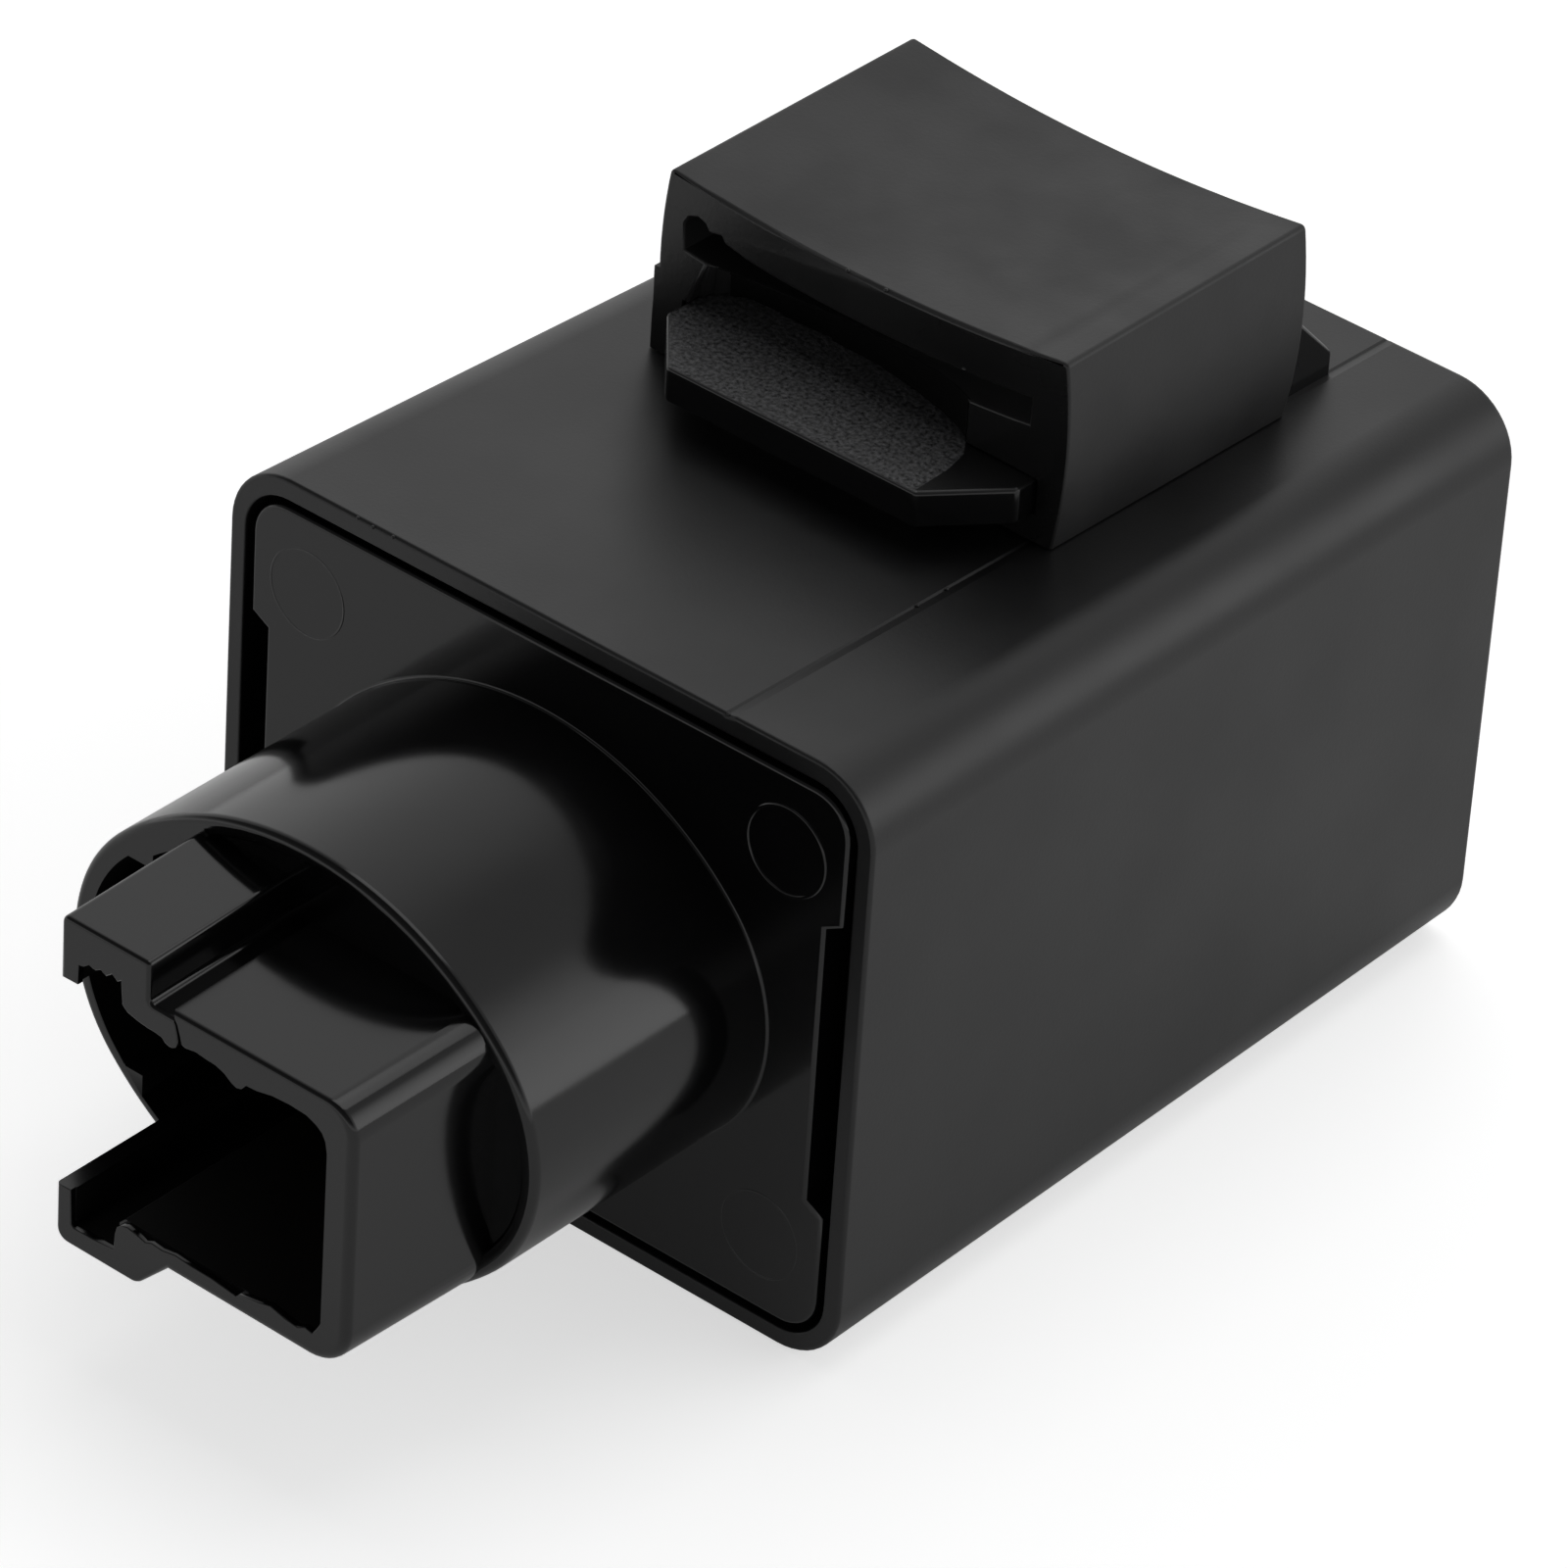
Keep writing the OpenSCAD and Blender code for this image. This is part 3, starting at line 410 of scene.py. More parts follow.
def drafted_shell(case):
    """The case's box: drafted, round along its edges, and hollow from the rim."""
    rear_wall, rear_edge, top_extra, long_edge = 1.2 * MM, 0.3 * MM, 0.1 * MM, 10 * MM
    narrower = (1 - 2 * case.side_draft / case.width, 1, 1 - case.top_draft / case.height)
    piece = add_box("case_shell", (-case.width / 2, RIM_Y, 0), (case.width / 2, REAR_Y, case.height))
    pick_faces(piece, lambda centre, normal: normal.y > ALONG)
    bpy.ops.transform.resize(value=narrower, center_override=(0, REAR_Y, 0))
    pick_edges(piece, lambda a, b: abs(a.y - b.y) > long_edge)
    bpy.ops.mesh.bevel(offset=case.edge_r, offset_type="OFFSET", segments=12, affect="EDGES")
    pick_edges(piece, lambda a, b: min(a.y, b.y) > REAR_Y - HAIR)
    bpy.ops.mesh.bevel(offset=rear_edge, offset_type="OFFSET", segments=3, affect="EDGES")
    pick_faces(piece, lambda centre, normal: normal.y < -ALONG)
    bpy.ops.mesh.inset(thickness=case.wall, use_even_offset=True)
    inner = case.height - 2 * case.wall
    bpy.ops.transform.resize(value=(1, 1, 1 - top_extra / inner), center_override=(0, RIM_Y, case.wall))
    bpy.ops.mesh.extrude_region_move(TRANSFORM_OT_translate={"value": (0, REAR_Y - rear_wall - RIM_Y, 0)})
    bpy.ops.transform.resize(value=narrower, center_override=(0, REAR_Y, case.wall))
    bpy.ops.object.mode_set(mode="OBJECT")
    return piece


def panel_cutter(case):
    """What the slide of the mould leaves: a wedge that fades out to its left and ends in a fine groove."""
    over = 5 * MM
    section = [(-7.9, 0.01), (8.62, -0.03), (8.71, -0.09), (9.15, 0.005), (9.3, 5), (-8, 5)]
    outline = [(x * MM, case.height + z * MM) for x, z in section]
    piece = front_prism("panel_cutter", outline, RIM_Y - over, REAR_Y + over)
    for vertex in piece.data.vertices:
        vertex.co.z += case_top(case, vertex.co.y) - case.height
    return piece


def lug_parts(case):
    """The lug's plate, the stem under it and the stop behind the sleeve."""
    half, front_half, corner = 8.75 * MM, 6.18 * MM, 2.96 * MM
    front = at_rim(13.54)
    stop_y = SLEEVE_HIGH.y + 0.1 * MM
    stop_top, stop_foot = at_rim(33.6), at_rim(36.0)
    stem_half, stem_start, stem_end = 4.9 * MM, front + 2 * MM, stop_y + MM
    root = case.height - case.top_draft - 0.45 * MM
    under = case.lug_top - case.lug_t
    plate = plan_prism("lug", [
        (-front_half, front), (front_half, front), (half, front + corner),
        (half, stop_top), (-half, stop_top), (-half, front + corner),
    ], under, case.lug_top)
    stem = add_box("stem", (-stem_half, stem_start, root), (stem_half, stem_end, under + HAIR))
    stop = side_prism("stop", [
        (stop_y, root), (stop_foot, root), (stop_foot, case.lug_top - (stop_foot - stop_top)),
        (stop_top, case.lug_top), (stop_y, case.lug_top),
    ], -half, half)
    for part in (plate, stop):
        bevel(part, case.edge, everywhere)
    field = [(-8.62, 12), (6.1, 12), (6.0, 15.65), (5.75, 16.9), (5.2, 17.7), (4.0, 21), (-8.62, 21)]
    outline = [(x * MM, at_rim(y)) for x, y in field]
    pad = plan_prism("pad", outline, case.lug_top - case.grain_depth, case.lug_top + OVER)
    combine(plate, [pad], "DIFFERENCE")
    return [plate, stem, stop]


def finish_lug(piece, case):
    """Gives the lug its smooth sides and the coarse grain of its upper face, painted lighter with sheen and
    glints.
    """
    add_materials(piece, ("Case plastic", "Lug sides", "Lug grain sheen"))
    above = case.height + 0.4 * MM
    field = case.lug_top - case.grain_depth
    give_material(piece, 1, lambda centre, normal: centre.z > above and normal.z < 0.5)
    give_material(piece, 2, lambda centre, normal: normal.z > ALONG and abs(centre.z - field) < HAIR)


def model_case(case):
    """The case with its panel, its lug and the bits of flash along its rim."""
    inner_edge, nib_r = 0.1 * MM, 0.08 * MM
    groove_low, groove_high = 8.5 * MM, 9.25 * MM
    piece = drafted_shell(case)
    combine(piece, [panel_cutter(case)], "DIFFERENCE")
    bevel(piece, case.rim_edge, at_y(RIM_Y, lambda p: rim_gap(case, p) > -case.wall / 2), segments=4)
    bevel(piece, inner_edge, at_y(RIM_Y, lambda p: rim_gap(case, p) < -case.wall / 2))
    combine(piece, lug_parts(case), "UNION")
    clean(piece)
    add_nibs(piece, [
        (-9.6, 0.06, 26.62), (-8.8, 0.02, 26.6), (-7.8, 0.05, 26.62), (8.75, 0.1, 26.6), (8.72, 10.9, 26.32),
        (8.75, 12.6, 26.28),
    ], nib_r)
    finish_lug(piece, case)

    def on_groove(point):
        on_top = 20 * MM < point.z < case.height + 0.2 * MM
        return on_top and groove_low < point.x < groove_high

    return smooth(piece, crease=lambda a, b: on_groove(a) and on_groove(b))


def sag_at(sleeve, x):
    """How far the sleeve's top is raised at x above its lowest line."""
    chord = 9.7 * MM
    r = (chord * chord + sleeve.sag * sleeve.sag) / (2 * sleeve.sag)
    return r - sqrt(r * r - x * x)


def sleeve_outline(sleeve, low):
    """The sleeve's outer shape from the front."""
    bulge_z, corner = 30.6 * MM, 9.72 * MM
    side_steps, top_steps = 16, 32
    middle = SLEEVE_HIGH.z - sleeve.sag

    def side(z):
        return sleeve.half_width - sleeve.side_r + sqrt(sleeve.side_r ** 2 - (z - bulge_z) ** 2)

    corner_z = middle + sag_at(sleeve, corner)
    zs = [low + (corner_z - low) * i / side_steps for i in range(side_steps + 1)]
    right = [(side(z), z) for z in zs]
    top_x = [right[-1][0] * (1 - 2 * i / top_steps) for i in range(1, top_steps)]
    top = [(x, middle + sag_at(sleeve, x)) for x in top_x]
    left = [(-x, z) for x, z in reversed(right)]
    return right + top + left


def slit_cutter(sleeve, low, high, y0, y1):
    """The bracket slit: it follows the sag, and its left end is torn open a little."""
    left, right, steps = -8.9 * MM, 8.25 * MM, 24
    torn_from = -5.3 * MM
    xs = [left + (right - left) * i / steps for i in range(steps + 1)]
    lower = [(x, low + sag_at(sleeve, x)) for x in xs]
    upper = [(x, high + sag_at(sleeve, x)) for x in reversed(xs) if x > torn_from]
    torn = in_metres([
        (-5.8, 32.12), (-6.94, 32.36), (-7.13, 32.62), (-7.75, 32.52), (-7.95, 32.82), (-8.31, 32.93),
        (-8.75, 32.76), (-8.95, 32.4),
    ])
    return front_prism("slit", lower + upper + torn, y0, y1)


def web_scoop(y0, low, high):
    """The hollow in front of the web: deep along the lug, and leaning forward to the slit."""
    foot = [
        (-8.8, -2), (-8.7, 0), (-8.62, 0.7), (-8.35, 1.3), (-7.9, 1.75), (-7.2, 2.0), (-5.5, 2.1),
        (-3.0, 2.08), (-0.6, 1.85), (1.7, 1.45), (3.4, 1.0), (4.6, 0.55), (5.3, 0.1), (5.6, -2),
    ]
    top = [
        (-8.8, -2), (-7.9, -0.03), (-7.6, 0.02), (-7.2, 0.06), (-6.6, 0.11), (-5.9, 0.2), (-4.6, 0.45),
        (-2.6, 0.8), (-0.4, 1.0), (1.8, 0.95), (3.4, 0.75), (4.6, 0.42), (5.3, 0.08), (5.6, -2),
    ]
    piece = plan_prism("web_cutter", [(x * MM, y0 + y * MM) for x, y in foot], low, high)
    for vertex in piece.data.vertices:
        if vertex.co.z > (low + high) / 2:
            place = min(range(len(foot)), key=lambda i: abs(foot[i][0] * MM - vertex.co.x))
            vertex.co.x, vertex.co.y = top[place][0] * MM, y0 + top[place][1] * MM
    return piece


def sleeve_leg(y0):
    """The small leg that stands beside the lug at the sleeve's left."""
    left, right, depth, low, high = -10.4 * MM, -9.4 * MM, 3.2 * MM, 25 * MM, 29.95 * MM
    edge = 0.12 * MM
    leg = add_box("leg", (left, y0, low), (right, y0 + depth, high))
    return bevel(leg, edge, lambda a, b: max(a.x, b.x) < left + 0.1 * MM)


def sleeve_cutters(sleeve, case, slit_top):
    """Room for the case, the bracket, the lug and its stem, and the hollow in front of the web."""
    over, lift = 2 * MM, 0.06 * MM
    y0, y1 = SLEEVE_LOW.y - over, SLEEVE_HIGH.y + over
    under = case.lug_top - case.lug_t
    slot_half, slot_top = 8.87 * MM, case.lug_top + 0.05 * MM
    gap_half, gap_top = 5.07 * MM, under + HAIR
    foot = side_prism("foot_cutter", [
        (y0, 0), (y1, 0), (y1, case_top(case, y1) + lift), (y0, case_top(case, y0) + lift),
    ], -case.width, case.width)
    return [
        foot,
        slit_cutter(sleeve, slit_top - sleeve.slit_h, slit_top, y0, y1),
        add_box("slot", (-slot_half, y0, under), (slot_half, y1, slot_top)),
        add_box("gap", (-gap_half, y0, 0), (gap_half, y1, gap_top)),
        web_scoop(SLEEVE_LOW.y, slot_top - 0.1 * MM, slit_top - sleeve.slit_h / 2),
    ]


def finish_sleeve(piece, low, high):
    """Gives the sleeve its rubber, a smoother front face painted darker as shade and, between two heights,
    an inside painted black as shade.
    """
    y0, y1, skin = SLEEVE_LOW.y, SLEEVE_HIGH.y, 0.15 * MM
    left, right = -7.3 * MM, 9.2 * MM
    add_materials(piece, ("Sleeve rubber", "Sleeve painted shade", "Sleeve face painted shade"))

    def inside(centre, normal):
        deep = y0 + skin < centre.y < y1 - skin
        return deep and left < centre.x < right and low < centre.z < high and normal.z < ALONG

    # Painted shade: the faces inside the slit and the hollow in front of the web are black
    give_material(piece, 1, inside)
    # Painted shade: the front face takes the darker copy of the rubber
    give_material(piece, 2, lambda centre, normal: centre.y < y0 + NEAR)


def model_sleeve(sleeve, case):
    """The rubber sleeve: bracket slit above, slot for the lug below."""
    y0, y1 = SLEEVE_LOW.y, SLEEVE_HIGH.y
    foot, shoulder = case_top(case, y1) - 2 * MM, 34 * MM
    under = case.lug_top - case.lug_t
    slit_top = SLEEVE_HIGH.z - sleeve.sag - sleeve.top_t
    web_depth, cut_half, nib_r = 2.2 * MM, 9.2 * MM, 0.09 * MM
    piece = front_prism("rubber_sleeve", sleeve_outline(sleeve, foot), y0, y1)
    bevel(piece, sleeve.side_edge, lambda a, b: min(a.z, b.z) > shoulder and abs(a.y - b.y) > MM, segments=6)
    bevel(piece, sleeve.edge, everywhere)
    combine(piece, [sleeve_leg(y0)], "UNION")
    combine(piece, sleeve_cutters(sleeve, case, slit_top), "DIFFERENCE")
    clean(piece)

    def near_slit(a, b):
        front = max(a.y, b.y) < y0 + web_depth
        return front and min(a.z, b.z) > under + 0.1 * MM and max(abs(a.x), abs(b.x)) < cut_half

    bevel(piece, sleeve.cut_edge, near_slit)
    add_nibs(piece, [
        (-0.92, 17.55, 33.83), (1.0, 17.52, 33.83), (5.0, 17.5, 32.15), (9.9, 17.65, 28.6),
        (9.85, 17.6, 28.0),
    ], nib_r)
    finish_sleeve(piece, under, slit_top + MM)
    return smooth(piece)


def oval(grow):
    """The turret's oval, larger by grow: two end arcs and two flatter flank arcs."""
    r = OVAL_R + grow
    reach = sqrt(OVAL_X ** 2 + OVAL_FLANK ** 2)
    corner = atan2(OVAL_FLANK, OVAL_X) * 180 / pi
    return (
        arc(OVAL_X, OVAL_Z, r, -corner, corner, 28)
        + arc(0, OVAL_Z - OVAL_FLANK, r + reach, corner, 180 - corner, 40)[1:-1]
        + arc(-OVAL_X, OVAL_Z, r, 180 - corner, 180 + corner, 28)
        + arc(0, OVAL_Z + OVAL_FLANK, r + reach, 180 + corner, 360 - corner, 40)[1:-1]
    )


def from_oval(point):
    """How far a point lies outside the turret's oval, negative inside."""
    x, z = abs(point.x), abs(point.z - OVAL_Z)
    if (x - OVAL_X) * OVAL_FLANK > z * OVAL_X:
        return sqrt((x - OVAL_X) ** 2 + z ** 2) - OVAL_R
    return sqrt(x ** 2 + (z + OVAL_FLANK) ** 2) - OVAL_R - sqrt(OVAL_X ** 2 + OVAL_FLANK ** 2)


def base_plate(socket):
    """The plate behind the turret, with its notches and the marks of the ejector pins."""
    half, low, high, corner = 14.83, 1.1, 25.45, 1.7
    outline = in_metres(round_corners(-half, low, half, high, corner, 8))
    rear = RIM_Y + socket.plate_t
    ring_r, ring_wire = 1.87 * MM, 0.08 * MM
    piece = front_prism("socket_base", outline, RIM_Y, rear)
    notch = [(14.0, 7.2), (14.0, 19.6), (half, 20.05), (16, 20.05), (16, 6.75), (half, 6.75)]
    notches = [
        front_prism("notch", in_metres([(side * x, z) for x, z in notch]), RIM_Y - OVER, rear + OVER)
        for side in (-1, 1)
    ]
    combine(piece, notches, "DIFFERENCE")
    bevel(piece, socket.plate_edge, at_y(RIM_Y), segments=4)
    spots = ((11.95, 22.15, 0.02), (-11.95, 22.15, 0.055), (-11.95, 4.55, 0.055), (11.95, 4.55, 0.065))
    marks = []
    for x, z, sunk in spots:
        deselect()
        bpy.ops.mesh.primitive_torus_add(
            major_segments=64, minor_segments=12, major_radius=ring_r, minor_radius=ring_wire,
            location=(x * MM, at_rim(sunk), z * MM), rotation=(pi / 2, 0, 0),
        )
        marks.append(settle(bpy.context.object))
    return combine(piece, marks, "UNION")


def turret(socket, front, floor):
    """The oval turret: a thick wall whose lip is nearly round, and the recess inside the lip."""
    piece = front_prism("turret", oval(0), front, RIM_Y + SINK)
    bevel(piece, socket.outer_edge, at_y(front), segments=4)
    recessed = in_metres([(-5.4, 4), (20, 4), (20, 30), (-1.4, 24), (-5.4, 20.25)])
    keep = front_prism("recess_keep", recessed, front - 2 * OVER, floor + OVER)
    recess = front_prism("recess", oval(-socket.lip_t), front - OVER, floor)
    combine(recess, [keep], "INTERSECT")
    combine(piece, [recess], "DIFFERENCE")

    def on_lip(point):
        return abs(from_oval(point) + socket.lip_t) < NEAR

    return bevel(piece, socket.inner_edge, at_y(front, on_lip), segments=4)


def shroud_outline():
    """The shroud from the front: a box with a rib above and a foot below on its left, in millimetres."""
    return (
        arc(-5.0, 6.3, 0.55, 180, 270, 5)
        + arc(-1.7, 6.35, 0.6, 270, 315, 4)
        + [(-0.05, 7.15)]
        + arc(7.2, 8.95, 1.8, 270, 360, 10)
        + arc(CORNER_X, CORNER_Z, 1.4, 0, 90, 8)
        + [(0, 18.95), (0, 18.65)]
        + arc(-0.9, 18.9, 0.25, 270, 180, 5)
        + arc(-1.35, 20.25, 0.2, 0, 90, 4)
        + arc(-5.25, 20.15, 0.3, 90, 180, 5)
    )


def shroud(socket, mouth, floor):
    """The keyed shroud: drafted, and round along its front edge, most of all at its lower right."""
    right_from, top_from = 7.1 * MM, 17.4 * MM
    least = 0.45
    piece = front_prism("shroud", in_metres(shroud_outline()), mouth, floor + SINK)
    for vertex in piece.data.vertices:
        if vertex.co.y > floor:
            vertex.co.x += socket.draft if vertex.co.x > right_from else 0
            vertex.co.z += socket.draft if vertex.co.z > top_from else 0

    def share(middle):
        if abs(middle.y - mouth) > HAIR:
            return 0.0
        x, z = middle.x / MM - CORNER_X, middle.z / MM - CORNER_Z
        if x > 0 and z > 0:
            return 1 - (1 - least) * atan2(z, x) / (pi / 2)
        return 1.0 if middle.x > 0 and z < 0 else least

    return bevel_in_shares(piece, socket.mouth_edge, share)


def cavity_outline():
    """The socket's mouth, with the channel in the foot and the groove in the rib, in millimetres."""
    return (
        [(-4.8, 6.68), (-2.6, 6.68), (-2.6, 7.85), (-2.3, 8.15), (7.4, 8.15), (7.7, 8.45)]
        + arc(6.9, 16.95, 0.8, 0, 90, 6)
        + [(-2.5, 17.75), (-2.5, 18.95), (-4.7, 18.95), (-4.8, 18.85)]
    )


def flash_outline():
    """The mouth at the very front, where flash hangs into it, in millimetres."""
    low = [
        (-6.5, 8.3), (-4.85, 8.3), (-4.8, 6.75), (-4.65, 6.64), (-3.7, 6.66), (-2.63, 6.72), (-2.58, 7.5),
        (-2.48, 7.86), (-2.29, 8.03), (-1.95, 8.12), (-1.6, 8.06), (-1.03, 7.92), (-0.72, 8.05), (-0.2, 8.0),
        (0.46, 8.13), (1.3, 8.07), (2.3, 8.06), (3.0, 7.98), (3.54, 7.9), (3.72, 8.1), (4.6, 8.22),
        (5.24, 8.38), (6.0, 8.2), (6.6, 8.13), (6.95, 8.34), (7.3, 8.24), (7.5, 8.55), (7.69, 8.9),
    ]
    high = [
        (7.69, 16.55), (7.6, 17.05), (7.42, 17.35), (7.15, 17.55), (6.66, 17.74), (5.8, 17.78),
        (4.97, 17.72), (4.23, 17.55), (3.72, 17.52), (3.5, 17.25), (3.25, 17.17), (3.0, 17.25),
        (2.63, 17.5), (2.19, 17.64), (1.76, 17.66), (1.22, 17.72), (0.7, 17.64), (0.48, 17.72),
        (0.4, 18.05), (0.24, 18.5), (0.1, 18.72), (0.03, 18.68), (0.16, 18.42), (0.28, 18.0),
        (0.33, 17.7), (0.24, 17.42), (0.08, 17.31), (-0.12, 17.3), (-0.3, 17.36), (-0.48, 17.52),
        (-0.8, 17.57), (-1.2, 17.58), (-1.69, 17.64), (-2.2, 17.76), (-2.46, 17.98), (-2.5, 18.4),
        (-2.56, 18.98), (-2.72, 18.86), (-3.0, 19.05), (-3.3, 18.82), (-3.55, 18.96), (-3.82, 18.8),
        (-4.15, 18.86), (-4.4, 18.66), (-4.68, 18.6), (-4.7, 17.72), (-6.5, 17.72),
    ]
    return low + high


def pocket_cutters(y0):
    """The pockets that core the turret beside the socket: lip beside each, then the corners of its field."""
    floor = at_rim(-5)
    fields = [
        (0.65, -12, 8.35, -5.55, 14.2), (0.5, -7.85, 4.5, -5.55, 9),
        (0.9, -12, 14.7, -7.85, 17.95), (1.3, -7.6, 14.7, -5.71, 20.6),
    ]
    cutters = []
    for lip, x0, z0, x1, z1 in fields:
        cutter = front_prism("pocket", oval(-lip * MM), y0, floor)
        keep = add_box("keep", (x0 * MM, y0 - OVER, z0 * MM), (x1 * MM, floor + OVER, z1 * MM))
        cutters.append(combine(cutter, [keep], "INTERSECT"))
    return cutters


def blade_slots():
    """The slots that the blades stand in."""
    gap = 0.03 * MM
    middle, half = 12.875 * MM, 3.15 * MM + gap
    front, rear = at_rim(-4), at_rim(3.4)
    slots = []
    for node in BLADES:
        low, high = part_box(node)
        slots.append(
            add_box("slot", (low.x - gap, front, middle - half), (high.x + gap, rear, middle + half))
        )
    return slots


def looks_inward(centre, normal):
    """Whether a face of the shroud looks towards the middle of the mouth."""
    middle_x, middle_z = 1.4 * MM, 12.9 * MM
    return normal.x * (middle_x - centre.x) + normal.z * (middle_z - centre.z) > 0


def paint_shade_inside(piece, front, skin):
    """Gives the faces inside the mouth and the pockets the second material, near-black painted there as
    shade.
    """
    add_materials(piece, ("Socket plastic", "Socket painted shade"))
    low, high = Vector((-4.9, 0, 6.6)) * MM, Vector((7.78, 0, 19.2)) * MM
    pocket_wall, pocket_front, pocket_rear = 0.3 * MM, front + 0.5 * MM, at_rim(-2.9)

    def inside(centre, normal):
        if centre.y > pocket_front:
            return from_oval(centre) < -pocket_wall and centre.y < pocket_rear
        across = low.x < centre.x < high.x and low.z < centre.z < high.z
        wall = centre.y > skin + NEAR and normal.y > -0.5
        return across and wall and looks_inward(centre, normal)

    give_material(piece, 1, inside)


def model_socket(socket):
    """Base plate, oval turret and keyed shroud in one piece."""
    recess, pocket_edge, front_edge = 0.45 * MM, 0.06 * MM, 0.05 * MM
    front = RIM_Y - socket.turret_l
    mouth = front - socket.shroud_l
    floor = front + recess
    skin = mouth + socket.flash_t
    piece = base_plate(socket)
    combine(piece, [turret(socket, front, floor)], "UNION")
    bevel(piece, socket.root, at_y(RIM_Y, lambda p: abs(from_oval(p)) < NEAR))
    combine(piece, [shroud(socket, mouth, floor)], "UNION")
    window = in_metres([(-6.5, 8.3), (-4.4, 8.3), (-4.4, 17.72), (-6.5, 17.72)])
    cutters = [
        front_prism("cavity", in_metres(cavity_outline()), skin - HAIR, at_rim(-3)),
        front_prism("flash", in_metres(flash_outline()), mouth - OVER, skin),
        front_prism("window", window, mouth - OVER, at_rim(-6)),
    ]
    combine(piece, cutters + pocket_cutters(front - OVER) + blade_slots(), "DIFFERENCE")

    def on_pocket(point):
        gap = from_oval(point)
        on_recess = abs(gap + socket.lip_t) < 0.03 * MM
        return -1.02 * MM < gap < -0.4 * MM and not on_recess and point.x < -5.6 * MM

    bevel(piece, pocket_edge, at_y(front, on_pocket))
    bevel(piece, front_edge, at_y(mouth), segments=2)
    clean(piece)
    paint_shade_inside(piece, front, skin)
    return smooth(piece)


def bend_leaf():
    """The contact spring, copied, rounded a little and smoothed, in place of the node."""
    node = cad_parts["contact_spring"]
    piece = bpy.data.objects.new("contact_leaf", node.data.copy())
    bpy.context.scene.collection.objects.link(piece)
    clean(piece)
    apply_modifier(
        piece, "BEVEL", width=0.03 * MM, segments=1, limit_method="ANGLE", angle_limit=radians(32)
    )
    smooth(piece)
    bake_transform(piece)
    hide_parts("contact_spring")
    return piece


def grain_group():
    """Moulded surface: fine grain as a height, and slow patches as a mask."""
    group = bpy.data.node_groups.new("Moulded grain", "ShaderNodeTree")
    sockets = (
        ("Grain", "INPUT", 6000.0), ("Patches", "INPUT", 140.0),
        ("Height", "OUTPUT", 0.0), ("Mask", "OUTPUT", 0.0),
    )
    for name, way, value in sockets:
        made = group.interface.new_socket(name=name, in_out=way, socket_type="NodeSocketFloat")
        made.default_value = value
    add, link = group.nodes.new, group.links.new
    entry, leave = add("NodeGroupInput"), add("NodeGroupOutput")
    place = add("ShaderNodeTexCoord")
    fine, slow = add("ShaderNodeTexNoise"), add("ShaderNodeTexNoise")
    fine.inputs["Detail"].default_value = 4.0
    fine.inputs["Roughness"].default_value = 0.65
    slow.inputs["Detail"].default_value = 3.0
    for noise, source in ((fine, "Grain"), (slow, "Patches")):
        link(place.outputs["Object"], noise.inputs["Vector"])
        link(entry.outputs[source], noise.inputs["Scale"])
    stretch = add("ShaderNodeMapRange")
    stretch.inputs["From Min"].default_value = 0.32
    stretch.inputs["From Max"].default_value = 0.68
    link(slow.outputs["Fac"], stretch.inputs["Value"])
    link(fine.outputs["Fac"], leave.inputs["Height"])
    link(stretch.outputs["Result"], leave.inputs["Mask"])


def new_material(name):
    """A material with its Principled node, and short names to add and link."""
    material = bpy.data.materials.new(name)
    material.use_nodes = True
    tree = material.node_tree
    shader = next(node for node in tree.nodes if node.type == "BSDF_PRINCIPLED")
    return material, tree.nodes.new, tree.links.new, shader


def moulded(
    name, base, rough, spread=0.05, bump=0.2, grain=6000, patches=140, contrast=0.15, depth=0.02,
    metallic=0, specular=0.5,
):
    """A moulded or rolled surface: its colour and gloss drift slowly, and its grain is a bump."""
    material, add, link, shader = new_material(name)
    shader.inputs["Metallic"].default_value = metallic
    shader.inputs["Specular IOR Level"].default_value = specular
    shader.inputs["IOR"].default_value = 1.5
    surface = add("ShaderNodeGroup")
    surface.node_tree = bpy.data.node_groups["Moulded grain"]
    surface.inputs["Grain"].default_value = grain
    surface.inputs["Patches"].default_value = patches
    tone = add("ShaderNodeMapRange")
    tone.inputs["To Min"].default_value = rough - spread
    tone.inputs["To Max"].default_value = rough + spread
    link(surface.outputs["Mask"], tone.inputs["Value"])
    link(tone.outputs["Result"], shader.inputs["Roughness"])
    shade = add("ShaderNodeMix")
    shade.data_type = "RGBA"
    shade.inputs["A"].default_value = (*[c * (1 - contrast) for c in base], 1)
    shade.inputs["B"].default_value = (*[min(1, c * (1 + contrast)) for c in base], 1)
    link(surface.outputs["Mask"], shade.inputs["Factor"])
    link(shade.outputs["Result"], shader.inputs["Base Color"])
    relief = add("ShaderNodeBump")
    relief.inputs["Strength"].default_value = bump
    relief.inputs["Distance"].default_value = depth * MM
    link(surface.outputs["Height"], relief.inputs["Height"])
    link(relief.outputs["Normal"], shader.inputs["Normal"])
    return material


def metal(name, base, rough, **more):
    """A bare or plated metal with a fine rolled grain."""
    return moulded(name, base, rough, metallic=1, **more)


def paint(piece, material):
    """Gives a piece one material."""
    if not piece.data.materials:
        piece.data.materials.append(material)
    for slot in piece.material_slots:
        slot.material = material


def paint_nodes(material, *names):
    """Gives these CAD nodes one material."""
    for name in names:
        paint(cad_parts[name], material)


